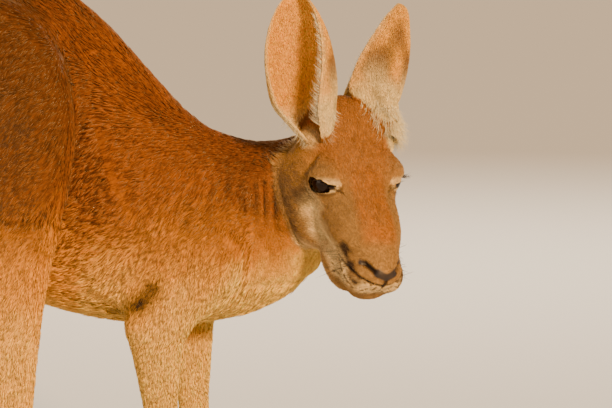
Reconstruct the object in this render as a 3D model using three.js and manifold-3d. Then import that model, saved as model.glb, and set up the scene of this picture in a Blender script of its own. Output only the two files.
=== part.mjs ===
// A life-size red kangaroo at rest on all fours: rump high, forearms upright under the chest, feet
// flat on the ground outside the hands, tail laid along the ground, head turned to its right.
// Millimetres. X runs forward along the body, Y to the animal's left, Z up, the ground at Z = 0.
//
// The body is one smooth field of muscles. Each named sub-part claims a block of space, takes the
// field's surface inside that block at its own fineness, and is parted from the next by a thin cut.
import * as THREE from 'three';
import { mergeVertices } from 'three/addons/utils/BufferGeometryUtils.js';
import Module from 'manifold-3d';

const wasm = await Module();
wasm.setup();

// ---------------------------------------------------------------- driving dimensions
const CUT = 0.3;               // gap left between neighbouring sub-parts
const SPAN = 3600;             // longer than the animal: the size of a cutting block
const SKIN_BLEND = 30;         // how softly the trunk's muscles run together
const LIMB_BLEND = 18;         // the same where a limb lies against the trunk
const FACE_BLEND = 12;         // the same for the finer forms of the head
const SIDES = { right: -1, left: 1 };

// The head, in its own frame: x to the nose, y to its left, z to the crown, from between the eyes.
const HEAD = {
  eyes: [56.3, -86.7, 444],       // the point midway between the two eyes, in the body's frame
  turn: -65,                   // degrees: turned to the animal's right
  nod: 45,                     // degrees: nose down
  lean: -2,                    // degrees: tilt towards its left ear
  scale: 1.065,
};
const EYE = { radius: 15, back: -7, out: 35, fissure: [15.5, 5.6], slant: 33, faces: [0.54, 0.83, 0.1] };
const EAR = { base: [-60, 41, 20], length: 164, sunk: 15, halfWidth: 37.5, thickness: 5 };

// The levels at which the limbs are parted.
const ELBOW_Z = 262;
const WRIST_Z = 58;
const KNEE_Z = 405;
const ANKLE_Z = 108;

// How far each limb stands forward of the pair's middle.
const ARM_STEP = { right: -16, left: 15 };
const LEG_STEP = { right: 6, left: -16 };

// Stations of the body's middle line: [x, z, radius, width as a share of height, y].
const SPINE = [
  [14, 458, 44, 0.9, -20],      // nape, at the back of the skull
  [-10, 430, 54, 0.88, -9],
  [-47, 402, 72, 0.86, -2],     // throat
  [-90, 385, 92, 0.86, 0],      // front of the chest
  [-138, 388, 110, 0.82, 0],    // shoulders
  [-210, 412, 125, 0.74, 0],    // ribs
  [-268, 446, 139, 0.69, 0],
  [-326, 492, 160, 0.62, 0],    // loin and belly
  [-426, 542, 186, 0.6, 0],
  [-520, 545, 165, 0.6, 0],     // rump
  [-600, 500, 120, 0.76, 0],
  [-668, 432, 84, 0.92, 0],     // root of the tail
  [-722, 352, 66, 0.95, 0],
  [-780, 262, 55, 0.97, 0],
];
// Stations of the tail beyond its root: [x, z, half width, half height].
const TAIL = [
  [-722, 352, 62, 66], [-780, 262, 53, 55], [-846, 172, 45, 47], [-924, 96, 39, 41],
  [-1012, 48, 35, 37], [-1104, 30.5, 31, 32], [-1196, 24, 26, 26], [-1290, 18, 19, 19.5], [-1372, 12, 12, 13],
];
// Where the tail is parted from the trunk, and then into lengths: a point and the way it runs there.
const TAIL_CUTS = [
  { at: [-632, 0, 468], way: [-0.62, 0, -0.785] },
  { at: [-738, 0, 328], way: [-0.56, 0, -0.83] },
  { at: [-1080, 0, 33], way: [-1, 0, -0.12] },
];

// ---------------------------------------------------------------- fields: distance-like functions
const V = (x, y, z) => new THREE.Vector3(x, y, z);
const mix = THREE.MathUtils.lerp;
const clamp = THREE.MathUtils.clamp;
const radians = THREE.MathUtils.degToRad;

function softMin(a, b, k) {
  const h = Math.max(k - Math.abs(a - b), 0) / k;
  return Math.min(a, b) - h * h * k / 4;
}
const together = (k, parts) => (p) => parts.reduce((d, part) => softMin(d, part(p), k), Infinity);

// A tapered limb from a to b, `flat` times as wide (in Y) as it is deep.
function limb(a, ra, b, rb, flat = 1) {
  const axis = V(b.x - a.x, (b.y - a.y) / flat, b.z - a.z);
  const lengthSquared = axis.lengthSq();
  return (p) => {
    const q = V(p.x - a.x, (p.y - a.y) / flat, p.z - a.z);
    const t = clamp(q.dot(axis) / lengthSquared, 0, 1);
    return (q.addScaledVector(axis, -t).length() - mix(ra, rb, t)) * Math.min(1, flat * 1.1);
  };
}
// A swelling: an ellipsoid, tipped by `pitch` degrees in the XZ plane and turned by `yaw` degrees.
function swelling(centre, radii, pitch = 0, yaw = 0) {
  const tip = new THREE.Euler(0, radians(pitch), radians(yaw), 'ZYX');
  const back = new THREE.Quaternion().setFromEuler(tip).invert();
  return (p) => {
    const q = p.clone().sub(centre).applyQuaternion(back);
    const k = q.clone().divide(radii);
    const near = k.length();
    return near < 1e-6 ? -Math.min(radii.x, radii.y, radii.z) : near * (near - 1) / k.divide(radii).length();
  };
}

// ---------------------------------------------------------------- the muscles
function spineFields() {
  return SPINE.slice(1).map(([x, z, r, w, y], i) => {
    const [x0, z0, r0, w0, y0] = SPINE[i];
    return limb(V(x0, y0, z0), r0, V(x, y, z), r, (w + w0) / 2);
  });
}
function armJoints(side) {
  const s = SIDES[side];
  const step = ARM_STEP[side];
  return {
    shoulder: V(-104 + step * 0.4, s * 84, 372),
    elbow: V(-147 + step, s * 86, 284),
    wrist: V(-134 + step, s * 47, 50),
  };
}
function armFields(side) {
  const { shoulder, elbow, wrist } = armJoints(side);
  const down = (t) => elbow.clone().lerp(wrist, t);
  return [
    limb(shoulder, 52, elbow, 34, 0.66),
    limb(elbow, 31, down(0.24), 25, 0.8),
    swelling(elbow.clone().add(V(-16, 0, 8)), V(17, 15, 24)),
  ];
}
function legJoints(side) {
  const s = SIDES[side];
  const step = LEG_STEP[side];
  const knee = V(-288 + step * 0.5, s * 142, 512);
  const ankle = V(-330 + step, s * 132, 84);
  const down = (t) => knee.clone().lerp(ankle, t).add(V(-12 * Math.sin(Math.PI * t) - 4, 0, 0));
  return { hip: V(-462, s * 84, 558), knee, ankle, down };
}
function legFields(side) {
  const s = SIDES[side];
  const { hip, knee, down } = legJoints(side);
  const calf = down(0.2);
  return [
    limb(hip, 104, V(-345, s * 122, 556), 96, 0.6),
    limb(V(-345, s * 122, 556), 96, knee, 56, 0.56),
    limb(V(-500, s * 92, 500), 78, V(-382, s * 130, 430), 42, 0.62),       // hamstrings
    limb(knee.clone().add(V(-12, 0, -12)), 52, calf, 50, 0.68),
    limb(calf, 50, down(0.42), 43, 0.7),
  ];
}

const headFrame = new THREE.Matrix4().compose(
  V(...HEAD.eyes),
  new THREE.Quaternion().setFromEuler(
    new THREE.Euler(radians(HEAD.lean), radians(HEAD.nod), radians(HEAD.turn), 'ZYX')),
  V(HEAD.scale, HEAD.scale, HEAD.scale));
const intoHead = headFrame.clone().invert();
const inHead = (field) => (p) => field(p.clone().applyMatrix4(intoHead)) * HEAD.scale;
const both = (make) => [make(-1), make(1)];

function skullField() {
  return together(FACE_BLEND, [
    swelling(V(-46, 0, -8), V(52, 45, 41)),                                  // braincase
    swelling(V(-68, 0, 13), V(34, 40, 29)),                                  // crown
    swelling(V(-14, 0, 6), V(30, 38, 22), 12),                               // forehead
    ...both((s) => limb(V(-52, s * 28, -4), 22, V(-60, s * 39, 14), 15)),    // root of the ear
    ...both((s) => swelling(V(-34, s * 40, -40), V(38, 22, 35), 14)),        // cheek and jaw muscle
    ...both((s) => swelling(V(-14, s * 29, -58), V(42, 25, 28))),            // throat behind the jaw
    ...both((s) => swelling(V(EYE.back, s * EYE.out, 0), V(17, 17, 16.5))),  // lids
    ...both((s) => swelling(V(-8, s * 34, 12), V(20, 11, 8), 12, s * -12)),  // brow
    ...both((s) => swelling(V(24, s * 26, -19), V(38, 14, 21), -6, s * -8)), // cheekbone
    limb(V(2, 0, -16), 35, V(52, 0, -21), 29, 1.06),                         // muzzle
    limb(V(52, 0, -21), 29, V(86, 0, -28), 24, 1.13),
    limb(V(10, 0, 4), 16, V(78, 0, -6), 12, 1.35),                           // bridge of the nose
    swelling(V(94, 0, -17), V(15, 18, 12)),                                  // nose pad
    ...both((s) => swelling(V(86, s * 17, -36), V(20, 16, 13))),             // upper lip
    limb(V(-34, 0, -64), 21, V(44, 0, -56), 18, 1.6),                        // lower jaw
    limb(V(44, 0, -56), 18, V(90, 0, -53), 13, 1.85),                        // chin
    ...both((s) => swelling(V(60, s * 18, -62), V(22, 13, 14))),             // side of the chin
  ]);
}

const eachSide = (make) => Object.keys(SIDES).flatMap(make);
const trunkField = together(SKIN_BLEND, [
  ...spineFields(),
  swelling(V(-72, 0, 364), V(78, 60, 72)),      // breast
]);
const above = (z, field) => (p) => Math.max(field(p), z - p.z);
const armsField = above(ELBOW_Z, together(LIMB_BLEND, eachSide(armFields)));
const legsField = above(KNEE_Z, together(LIMB_BLEND, eachSide(legFields)));
const headField = inHead(skullField());
const animal = together(LIMB_BLEND, [trunkField, armsField, legsField, headField]);

// ---------------------------------------------------------------- from a field to a surface
// One vertex in each cell that the surface crosses, moved onto the surface, and one quad for each
// crossed grid edge.
function surfaceOf(field, low, high, cell) {
  const from = low.clone().subScalar(cell * 1.5);
  const count = high.clone().sub(low).divideScalar(cell).ceil().addScalar(4);
  const middle = low.clone().add(high).multiplyScalar(0.5);
  const half = high.clone().sub(low).multiplyScalar(0.5);
  const walled = (p) => Math.max(field(p), Math.abs(p.x - middle.x) - half.x,
    Math.abs(p.y - middle.y) - half.y, Math.abs(p.z - middle.z) - half.z);
  const at = (i, j, k) => i + count.x * (j + count.y * k);
  const corner = (i, j, k) => V(from.x + i * cell, from.y + j * cell, from.z + k * cell);
  const value = new Float64Array(count.x * count.y * count.z);
  for (let k = 0; k < count.z; k++)
    for (let j = 0; j < count.y; j++)
      for (let i = 0; i < count.x; i++) value[at(i, j, k)] = walled(corner(i, j, k));

  const places = [];
  const vertexIn = new Map();
  const steps = [[1, 0, 0], [0, 1, 0], [0, 0, 1]];
  function vertexOf(i, j, k) {
    const key = at(i, j, k);
    if (vertexIn.has(key)) return vertexIn.get(key);
    const sum = V(0, 0, 0);
    let crossings = 0;
    for (const [axis, step] of steps.entries())
      for (const u of [0, 1])
        for (const w of [0, 1]) {
          const base = [i, j, k];
          base[(axis + 1) % 3] += u;
          base[(axis + 2) % 3] += w;
          const a = value[at(...base)];
          const b = value[at(base[0] + step[0], base[1] + step[1], base[2] + step[2])];
          if ((a < 0) === (b < 0)) continue;
          sum.add(corner(...base).addScaledVector(V(...step), cell * a / (a - b)));
          crossings += 1;
        }
    const place = sum.divideScalar(crossings);
    settle(place, walled, cell);
    vertexIn.set(key, places.length / 3);
    places.push(place.x, place.y, place.z);
    return vertexIn.get(key);
  }

  const triangles = [];
  const apart = (a, b) => Math.hypot(...[0, 1, 2].map((n) => places[3 * a + n] - places[3 * b + n]));
  for (let k = 1; k < count.z - 1; k++)
    for (let j = 1; j < count.y - 1; j++)
      for (let i = 1; i < count.x - 1; i++)
        for (const [axis, step] of steps.entries()) {
          const inside = value[at(i, j, k)] < 0;
          if (inside === value[at(i + step[0], j + step[1], k + step[2])] < 0) continue;
          const ring = [[0, 0], [1, 0], [1, 1], [0, 1]].map(([u, w]) => {
            const cellAt = [i, j, k];
            cellAt[(axis + 1) % 3] -= u;
            cellAt[(axis + 2) % 3] -= w;
            return vertexOf(...cellAt);
          });
          if (!inside) ring.reverse();
          const [a, b, c, d] = ring;
          if (apart(a, c) < apart(b, d)) triangles.push(a, b, c, a, c, d);
          else triangles.push(a, b, d, b, c, d);
        }
  return new THREE.BufferGeometry()
    .setAttribute('position', new THREE.Float32BufferAttribute(places, 3))
    .setIndex(triangles);
}
// Moves a point along the field's slope until it lies on the surface, by less than half a cell.
function settle(place, field, cell) {
  const h = cell * 0.02;
  const start = place.clone();
  for (let round = 0; round < 3; round++) {
    const slope = V(...['x', 'y', 'z'].map((axis) => {
      const ahead = place.clone();
      const behind = place.clone();
      ahead[axis] += h;
      behind[axis] -= h;
      return (field(ahead) - field(behind)) / (2 * h);
    }));
    place.addScaledVector(slope, -field(place) / Math.max(slope.lengthSq(), 0.1));
  }
  const moved = place.clone().sub(start).clampLength(0, cell * 0.45);
  place.copy(start).add(moved);
}

// ---------------------------------------------------------------- solids, cuts and blocks
function solidOf(geometry, matrix = new THREE.Matrix4()) {
  const bare = (geometry.index ? geometry.toNonIndexed() : geometry.clone());
  for (const name of Object.keys(bare.attributes)) if (name !== 'position') bare.deleteAttribute(name);
  const merged = mergeVertices(bare.applyMatrix4(matrix), 1e-3);
  return new wasm.Manifold(new wasm.Mesh({
    numProp: 3,
    vertProperties: merged.attributes.position.array,
    triVerts: new Uint32Array(merged.index.array),
  }));
}
// Vertices closer than WELD become one. The slivers between them go, and so do the pairs of faces
// that closing a sliver folds back to back. An edge where four faces then meet is closed up too.
const WELD = 0.1;
function withoutSlivers(faces) {
  const kept = new Map();
  for (const face of faces) {
    if (new Set(face).size < 3) continue;
    const key = [...face].sort((a, b) => a - b).join();
    if (kept.has(key)) kept.delete(key);
    else kept.set(key, face);
  }
  return [...kept.values()];
}
function crowdedEdge(faces) {
  const uses = new Map();
  for (const [a, b, c] of faces)
    for (const edge of [[a, b], [b, c], [c, a]]) {
      const key = edge.sort((p, q) => p - q).join();
      uses.set(key, (uses.get(key) ?? 0) + 1);
      if (uses.get(key) > 2) return edge;
    }
  return null;
}
function geometryOf(solid) {
  const { vertProperties, triVerts } = solid.getMesh();
  const welded = mergeVertices(new THREE.BufferGeometry()
    .setAttribute('position', new THREE.BufferAttribute(vertProperties, 3))
    .setIndex(new THREE.BufferAttribute(triVerts, 1)), WELD);
  const corners = [...welded.index.array];
  const triples = Array.from({ length: corners.length / 3 }, (_, n) => corners.slice(3 * n, 3 * n + 3));
  let faces = withoutSlivers(triples);
  for (let edge = crowdedEdge(faces); edge; edge = crowdedEdge(faces)) {
    const [stays, goes] = edge;
    faces = withoutSlivers(faces.map((face) => face.map((corner) => (corner === goes ? stays : corner))));
  }
  return welded.setIndex(faces.flat());
}
const largest = (solid) => solid.decompose().reduce((a, b) => (a.volume() > b.volume() ? a : b));
// What is left of a solid beside its neighbour, a cut's width away from it on every side.
function clearOf(solid, neighbour) {
  const shape = geometryOf(neighbour);
  let left = solid;
  for (const axis of [V(1, 0, 0), V(0, 1, 0), V(0, 0, 1)])
    for (const way of [-1, 1]) {
      const shift = axis.clone().multiplyScalar(way * CUT * 1.6);
      left = left.subtract(solidOf(shape, new THREE.Matrix4().makeTranslation(shift)));
    }
  return left;
}

// A block of space: `size` from corner to corner round `centre`, turned as `turn` says.
const block = (centre, size, turn = new THREE.Quaternion()) => ({ centre, size, turn });
function blockSolid({ centre, size, turn }, grown = 0) {
  const box = new THREE.BoxGeometry(size.x + 2 * grown, size.y + 2 * grown, size.z + 2 * grown);
  return solidOf(box, new THREE.Matrix4().compose(centre, turn, V(1, 1, 1)));
}
function blockBounds({ centre, size, turn }) {
  const box = new THREE.Box3().setFromCenterAndSize(V(0, 0, 0), size);
  return box.applyMatrix4(new THREE.Matrix4().compose(centre, turn, V(1, 1, 1)));
}
// Everything on the far side of a plane through `point`, in the direction `normal`.
function beyond(point, normal, gap = 0) {
  const way = normal.clone().normalize();
  const turn = new THREE.Quaternion().setFromUnitVectors(V(0, 0, 1), way);
  return blockSolid(block(point.clone().addScaledVector(way, SPAN / 2 + gap), V(SPAN, SPAN, SPAN), turn));
}
const underground = beyond(V(0, 0, 0), V(0, 0, -1));

// ---------------------------------------------------------------- lofts: tail, toes, fingers, claws
// A tapered length through stations {at, wide, high}, its height measured along `up`. Each end is
// flat, or domed by its share of the end's radius.
function loft(stations, { sides = 8, steps = 3, up = V(0, 0, 1), domes = [0, 0.9] } = {}) {
  const path = new THREE.CatmullRomCurve3(stations.map((s) => s.at), false, 'centripetal');
  const sizes = (t) => {
    const place = t * (stations.length - 1);
    const i = Math.min(Math.floor(place), stations.length - 2);
    return ['wide', 'high'].map((key) => mix(stations[i][key], stations[i + 1][key], place - i));
  };
  const ringAt = (t, shift = 0, share = 1) => {
    const ahead = path.getTangent(t);
    const side = up.clone().cross(ahead).normalize();
    const top = ahead.clone().cross(side);
    const [wide, high] = sizes(t);
    const centre = path.getPoint(t).addScaledVector(ahead, shift * Math.min(wide, high));
    return Array.from({ length: sides }, (_, n) => {
      const angle = 2 * Math.PI * (n + 0.5) / sides;
      return centre.clone().addScaledVector(side, share * wide * Math.cos(angle))
        .addScaledVector(top, share * high * Math.sin(angle));
    });
  };
  const rings = Array.from({ length: steps + 1 }, (_, n) => ringAt(n / steps));
  if (domes[0]) rings.unshift(ringAt(0, -0.75 * domes[0], 0.66));
  if (domes[1]) rings.push(ringAt(1, 0.75 * domes[1], 0.66));
  const poles = [-1, 1].map((way, end) => path.getPoint(end)
    .addScaledVector(path.getTangent(end), way * domes[end] * Math.min(...sizes(end))));
  return closedRings(rings, ...poles);
}
function closedRings(rings, first, last) {
  const sides = rings[0].length;
  const points = [first, ...rings.flat(), last];
  const triangles = [];
  for (let n = 0; n < sides; n++) {
    const m = (n + 1) % sides;
    triangles.push(0, 1 + m, 1 + n);
    for (let r = 0; r < rings.length - 1; r++) {
      const a = 1 + r * sides;
      const b = a + sides;
      triangles.push(a + n, a + m, b + n, a + m, b + m, b + n);
    }
    const end = 1 + (rings.length - 1) * sides;
    triangles.push(end + n, end + m, points.length - 1);
  }
  return new THREE.BufferGeometry().setFromPoints(points).setIndex(triangles);
}
const station = (at, wide, high = wide) => ({ at, wide, high });
const joined = (geometries) => geometries.map((g) => solidOf(g)).reduce((a, b) => a.add(b));
const levelCut = (geometry, low, high) => largest(solidOf(geometry)
  .subtract(beyond(V(0, 0, low), V(0, 0, -1))).subtract(beyond(V(0, 0, high), V(0, 0, 1))));

// ---------------------------------------------------------------- forearms and shanks
function forearm(side) {
  const { elbow, wrist } = armJoints(side);
  const down = (t) => elbow.clone().lerp(wrist, t);
  return loft([
    station(down(-0.02), 26, 32), station(down(0.12), 24, 29), station(down(0.28), 20, 23),
    station(down(0.45), 17, 18.5), station(down(0.7), 15.5, 16.5), station(down(1.05), 16, 16),
  ], { sides: 9, steps: 6, up: V(1, 0, 0) });
}
const SHANK_CLEARANCE = 4;
function shank(side, grown = 0) {
  const { down, ankle } = legJoints(side);
  return loft([
    [down(0.16), 36, 56], [down(0.28), 35, 45], [down(0.42), 32, 41],
    [down(0.62), 26, 38], [down(0.8), 22.5, 34], [ankle, 21, 29],
  ].map(([at, wide, high]) => station(at, wide + grown, high + grown)),
  { sides: 10, steps: 7, up: V(1, 0, 0) });
}

// ---------------------------------------------------------------- hands and feet
// A hand lies flat from the wrist, its five fingers spread forward and out.
const FINGERS = [
  { fan: -31, length: 32, radius: 6.6 },
  { fan: -14, length: 44, radius: 7.4 },
  { fan: 0, length: 50, radius: 7.8 },
  { fan: 14, length: 45, radius: 7.4 },
  { fan: 30, length: 33, radius: 6.8 },
];
const HAND_TURN = { right: -8, left: 8 };
function handParts(side) {
  const { wrist } = armJoints(side);
  const turn = radians(HAND_TURN[side]);
  const forward = (length, fan = 0) => V(length * Math.cos(turn + fan), length * Math.sin(turn + fan), 0);
  const heel = wrist.clone().setZ(14).add(forward(6));
  const palm = loft([
    station(wrist.clone().add(V(0, 0, 14)), 17, 16),
    station(wrist.clone().add(forward(2)).setZ(30), 19, 16),
    station(heel.clone().add(forward(20)).setZ(13), 29, 15),
    station(heel.clone().add(forward(44)).setZ(8), 27, 11),
  ], { sides: 7, steps: 4, up: V(0, 0, 1).add(forward(1)) });
  const fingers = FINGERS.map(({ fan, length, radius }) => {
    const angle = radians(fan);
    const root = heel.clone().add(forward(24)).add(forward(18, angle));
    const tip = root.clone().add(forward(length, angle));
    return {
      solid: loft([
        station(root.clone().setZ(11), radius * 1.05, radius * 1.1),
        station(root.clone().lerp(tip, 0.45).setZ(13), radius, radius),
        station(tip.clone().setZ(radius - 1), radius * 0.9, radius * 0.88),
      ], { sides: 6, steps: 2 }),
      tip: tip.setZ(radius - 1),
      way: forward(1, angle),
      radius,
    };
  });
  return { palm, fingers };
}

// A foot: the long fourth toe carries the weight, the fifth lies outside it and the slim, joined
// second and third lie inside it.
function footParts(side) {
  const s = SIDES[side];
  const { ankle } = legJoints(side);
  const along = (x, out, z) => V(ankle.x + x, ankle.y + s * out, z);
  const heel = loft([
    station(along(0, 0, 128), 21.5, 30), station(along(0, 0, 96), 21, 28.5),
    station(along(-8, 0, 62), 21, 30), station(along(-8, 0, 40), 20, 27),
  ], { steps: 3, up: V(1, 0, 0), domes: [0, 0.7] });
  const sole = loft([
    station(along(-30, -1, 34), 18, 26), station(along(10, 0, 29), 23, 33), station(along(60, 1, 23), 24, 26),
    station(along(140, 2, 17), 22, 19.5), station(along(206, 3, 14.5), 21, 17),
  ], { steps: 5, domes: [0.7, 0.7] });
  const fourth = loft([
    station(along(196, 3, 14), 18, 16), station(along(236, 4, 14), 14.5, 16.5),
    station(along(278, 5, 11), 13, 13), station(along(300, 6, 10.5), 11.5, 12),
  ]);
  const fifth = loft([
    station(along(120, 19, 14), 9, 13), station(along(196, 25, 12), 10.5, 12.5),
    station(along(236, 29, 11), 8.5, 10), station(along(252, 31, 9), 8, 9),
  ], { sides: 6 });
  const joinedToes = loft([
    station(along(140, -17, 15), 8, 11), station(along(206, -19, 14), 7, 9),
    station(along(226, -20, 11), 6.5, 7.5),
  ], { sides: 6, steps: 2 });
  return { solids: [heel, sole, fourth, fifth, joinedToes], along };
}

// A claw: a horn that thins and bends down from its root at `at`, along `way`. The socket that
// holds it is the same shape, grown by the cut.
function claw({ at, way, length, radius, droop }, grown = 0) {
  const reach = (t, drop) => at.clone().addScaledVector(way, length * t).add(V(0, 0, -droop * drop));
  const root = at.clone().addScaledVector(way, -0.35 * length - grown);
  return solidOf(loft([
    station(root, radius * 0.9 + grown), station(reach(0.1, -0.25), radius + grown, radius * 1.15 + grown),
    station(reach(0.55, 0.1), radius * 0.72 + grown, radius * 0.9 + grown),
    station(reach(0.95, 1), radius * 0.2 + grown),
  ], { sides: 5, steps: 2, domes: [0, 0] }));
}

// ---------------------------------------------------------------- ears and eyes
// An ear is a leaf rolled round its own length: nearly a tube at the root, a wide cup in the middle
// and a point at the tip. `opening` is the way that the cup faces.
function ear(root, way, length, opening) {
  const rows = 8;
  const columns = 7;
  const ahead = way.clone().normalize();
  const back = opening.clone().addScaledVector(ahead, -opening.dot(ahead)).normalize().negate();
  const side = ahead.clone().cross(back);
  const face = (share) => {
    const points = [];
    for (let i = 0; i <= rows; i++) {
      const u = i / rows;
      const half = Math.max(EAR.halfWidth * Math.sin(Math.PI * (0.1 + 0.9 * u) ** 1.1) ** 0.55, 2.4);
      const wrap = radians(mix(150, 84, u ** 1.2));
      const bend = half * Math.min(1, mix(0.72, 1, u / 0.3)) / Math.sin(Math.min(wrap, Math.PI / 2));
      const forward = 0.85 * bend * (1 - u) * Math.min(1, 4 * u);
      const wall = EAR.thickness * mix(1, 0.62, u);
      for (let j = 0; j <= columns; j++) {
        const v = 2 * j / columns - 1;
        const radius = bend + share * wall * (1 - 0.45 * v ** 6) / 2;
        points.push(root.clone().addScaledVector(ahead, length * u)
          .addScaledVector(back, Math.cos(v * wrap) * radius - forward)
          .addScaledVector(side, Math.sin(v * wrap) * radius));
      }
    }
    return points;
  };
  const outer = face(1);
  const inner = face(-1);
  const at = (i, j, layer) => layer * outer.length + i * (columns + 1) + j;
  const triangles = [];
  const quad = (a, b, c, d) => triangles.push(a, b, c, a, c, d);
  for (let i = 0; i < rows; i++)
    for (let j = 0; j < columns; j++) {
      quad(at(i, j, 0), at(i, j + 1, 0), at(i + 1, j + 1, 0), at(i + 1, j, 0));
      quad(at(i, j, 1), at(i + 1, j, 1), at(i + 1, j + 1, 1), at(i, j + 1, 1));
    }
  for (let i = 0; i < rows; i++) {
    quad(at(i, 0, 0), at(i + 1, 0, 0), at(i + 1, 0, 1), at(i, 0, 1));
    quad(at(i, columns, 0), at(i, columns, 1), at(i + 1, columns, 1), at(i + 1, columns, 0));
  }
  for (let j = 0; j < columns; j++) {
    quad(at(0, j, 0), at(0, j, 1), at(0, j + 1, 1), at(0, j + 1, 0));
    quad(at(rows, j, 0), at(rows, j + 1, 0), at(rows, j + 1, 1), at(rows, j, 1));
  }
  return new THREE.BufferGeometry().setFromPoints([...outer, ...inner]).setIndex(triangles);
}

const fromHead = (x, y, z) => V(x, y, z).applyMatrix4(headFrame);
const headWay = (x, y, z) => V(x, y, z).transformDirection(headFrame);
const eyeCentre = (s) => fromHead(EYE.back, s * EYE.out, 0);
function eyeBall(s, grown = 0) {
  const ball = new THREE.SphereGeometry(EYE.radius + grown, 10, 6);
  return solidOf(ball, new THREE.Matrix4().makeTranslation(eyeCentre(s)));
}
// The opening between the lids: an almond-like plug through the lid in front of the eye.
const PLUG_DEPTH = 12;
function eyeOpening(s) {
  const out = headWay(EYE.faces[0], s * EYE.faces[1], EYE.faces[2]);
  const slant = radians(EYE.slant);
  const forward = headWay(Math.cos(slant), 0, Math.sin(slant));
  const along = forward.addScaledVector(out, -forward.dot(out)).normalize();
  const across = out.clone().cross(along);
  const plug = new THREE.SphereGeometry(1, 12, 6);
  const frame = new THREE.Matrix4().makeBasis(
    along.multiplyScalar(EYE.fissure[0]), across.multiplyScalar(EYE.fissure[1]),
    out.clone().multiplyScalar(PLUG_DEPTH));
  return solidOf(plug, frame.setPosition(eyeCentre(s).addScaledVector(out, EYE.radius)));
}

// ---------------------------------------------------------------- the blocks that the sub-parts claim
const tilt = (axis, degrees) => new THREE.Quaternion().setFromAxisAngle(axis, radians(degrees));
const headTurn = new THREE.Quaternion().setFromRotationMatrix(new THREE.Matrix4().extractRotation(headFrame));

const NAPE_TILT = -32;          // degrees from the head's own back plane to the cut at the nape
const headBlockTurn = headTurn.clone().multiply(tilt(V(0, 1, 0), NAPE_TILT));
const headBlock = block(
  fromHead(-68, 0, -20).add(V(110, 0, -20).applyQuaternion(headBlockTurn)), V(220, 190, 250), headBlockTurn);
const neckTurn = tilt(V(0, 1, 0), -26);
const neckMiddle = V(-66, 0, 395).add(V(150, 0, -20).applyQuaternion(neckTurn));
const neckBlock = block(neckMiddle, V(300, 300, 300), neckTurn);
const TAIL_ROOT_LENGTH = 260;
function tailRootBlock() {
  const [x, y, z] = TAIL_CUTS[0].way;
  const turn = new THREE.Quaternion().setFromUnitVectors(V(1, 0, 0), V(x, y, z).normalize());
  return block(V(...TAIL_CUTS[0].at).add(V(TAIL_ROOT_LENGTH / 2, 0, 0).applyQuaternion(turn)),
    V(TAIL_ROOT_LENGTH, 400, 330), turn);
}
function upperArmBlock(side) {
  const s = SIDES[side];
  const turn = tilt(V(1, 0, 0), s * -20);
  return block(V(-126, s * 76, 318).add(V(0, s * 75, 0).applyQuaternion(turn)), V(152, 150, 172), turn);
}
const thighBlock = (side) => block(V(-416, SIDES[side] * 190, 540), V(400, 190, 2 * (540 - KNEE_Z)));

// ---------------------------------------------------------------- building the animal
const FLESH = [];
const add = (name, region, cell) => FLESH.push({ name, region, cell });
add('head', headBlock, 13.9);
add('neck', neckBlock, 34);
for (const side of Object.keys(SIDES)) {
  add(`upper_arm_${side}`, upperArmBlock(side), 27);
  add(`thigh_${side}`, thighBlock(side), 43);
}
add('tail_root', tailRootBlock(), 52);
add('trunk', block(V(-350, 0, 430), V(680, 420, 700)), 57);

const COLOURS = {
  coat: 0xb5682c, pale: 0xd9a860, face: 0x9c7348, ear: 0xc28b52, eye: 0x1a0f08, claw: 0x2a211c,
};
function material(colour, roughness = 0.85) {
  return new THREE.MeshStandardMaterial({ color: colour, roughness, metalness: 0 });
}
const parts = new Map();
const keep = (name, solid, colour, roughness) => parts.set(name, { solid, colour, roughness });

function fleshColour(name) {
  if (name === 'head') return COLOURS.face;
  return COLOURS.coat;
}
const tailBeyond = ({ at, way }) => beyond(V(...at), V(...way));
const tailBefore = ({ at, way }) => beyond(V(...at), V(...way).negate(), -CUT);
FLESH.forEach(({ name, region, cell }, n) => {
  const bounds = blockBounds(region).expandByScalar(cell * 0.25);
  let solid = solidOf(surfaceOf(animal, bounds.min, bounds.max, cell)).intersect(blockSolid(region));
  for (const earlier of FLESH.slice(0, n)) solid = solid.subtract(blockSolid(earlier.region, CUT));
  if (name === 'tail_root') solid = solid.subtract(tailBeyond(TAIL_CUTS[1]));
  if (name.startsWith('upper_arm')) solid = solid.subtract(beyond(V(0, 0, ELBOW_Z), V(0, 0, -1)));
  if (name === 'trunk')
    for (const side of Object.keys(SIDES)) solid = solid.subtract(solidOf(shank(side, SHANK_CLEARANCE)));
  keep(name, largest(solid), fleshColour(name));
});

// Eyes set into the head behind the opening of the lids.
for (const [side, s] of Object.entries(SIDES)) {
  const head = parts.get('head');
  head.solid = largest(head.solid.subtract(eyeBall(s, CUT * 1.5)).subtract(eyeOpening(s)));
  keep(`eye_${side}`, eyeBall(s), COLOURS.eye, 0.1);
}

// Ears, parted from the head along its surface. The left one is turned back and inwards.
const EAR_POSE = {
  right: { tip: V(-31, 8, 158), opening: V(-0.3, -0.95, 0.05), shift: 6 },
  left: { tip: V(3, 78, 137), opening: V(-0.98, -0.16, 0.05), shift: 3.5 },
};
for (const [side, s] of Object.entries(SIDES)) {
  const root = fromHead(EAR.base[0], s * EAR.base[1], EAR.base[2]);
  const { tip, opening, shift } = EAR_POSE[side];
  root.addScaledVector(tip.clone().normalize(), -EAR.sunk).add(V(shift, 0, 0));
  const leaf = solidOf(ear(root, tip, EAR.length, opening));
  const clear = clearOf(clearOf(leaf, parts.get('head').solid), parts.get('neck').solid);
  keep(`ear_${side}`, largest(clear), COLOURS.ear);
}

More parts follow.
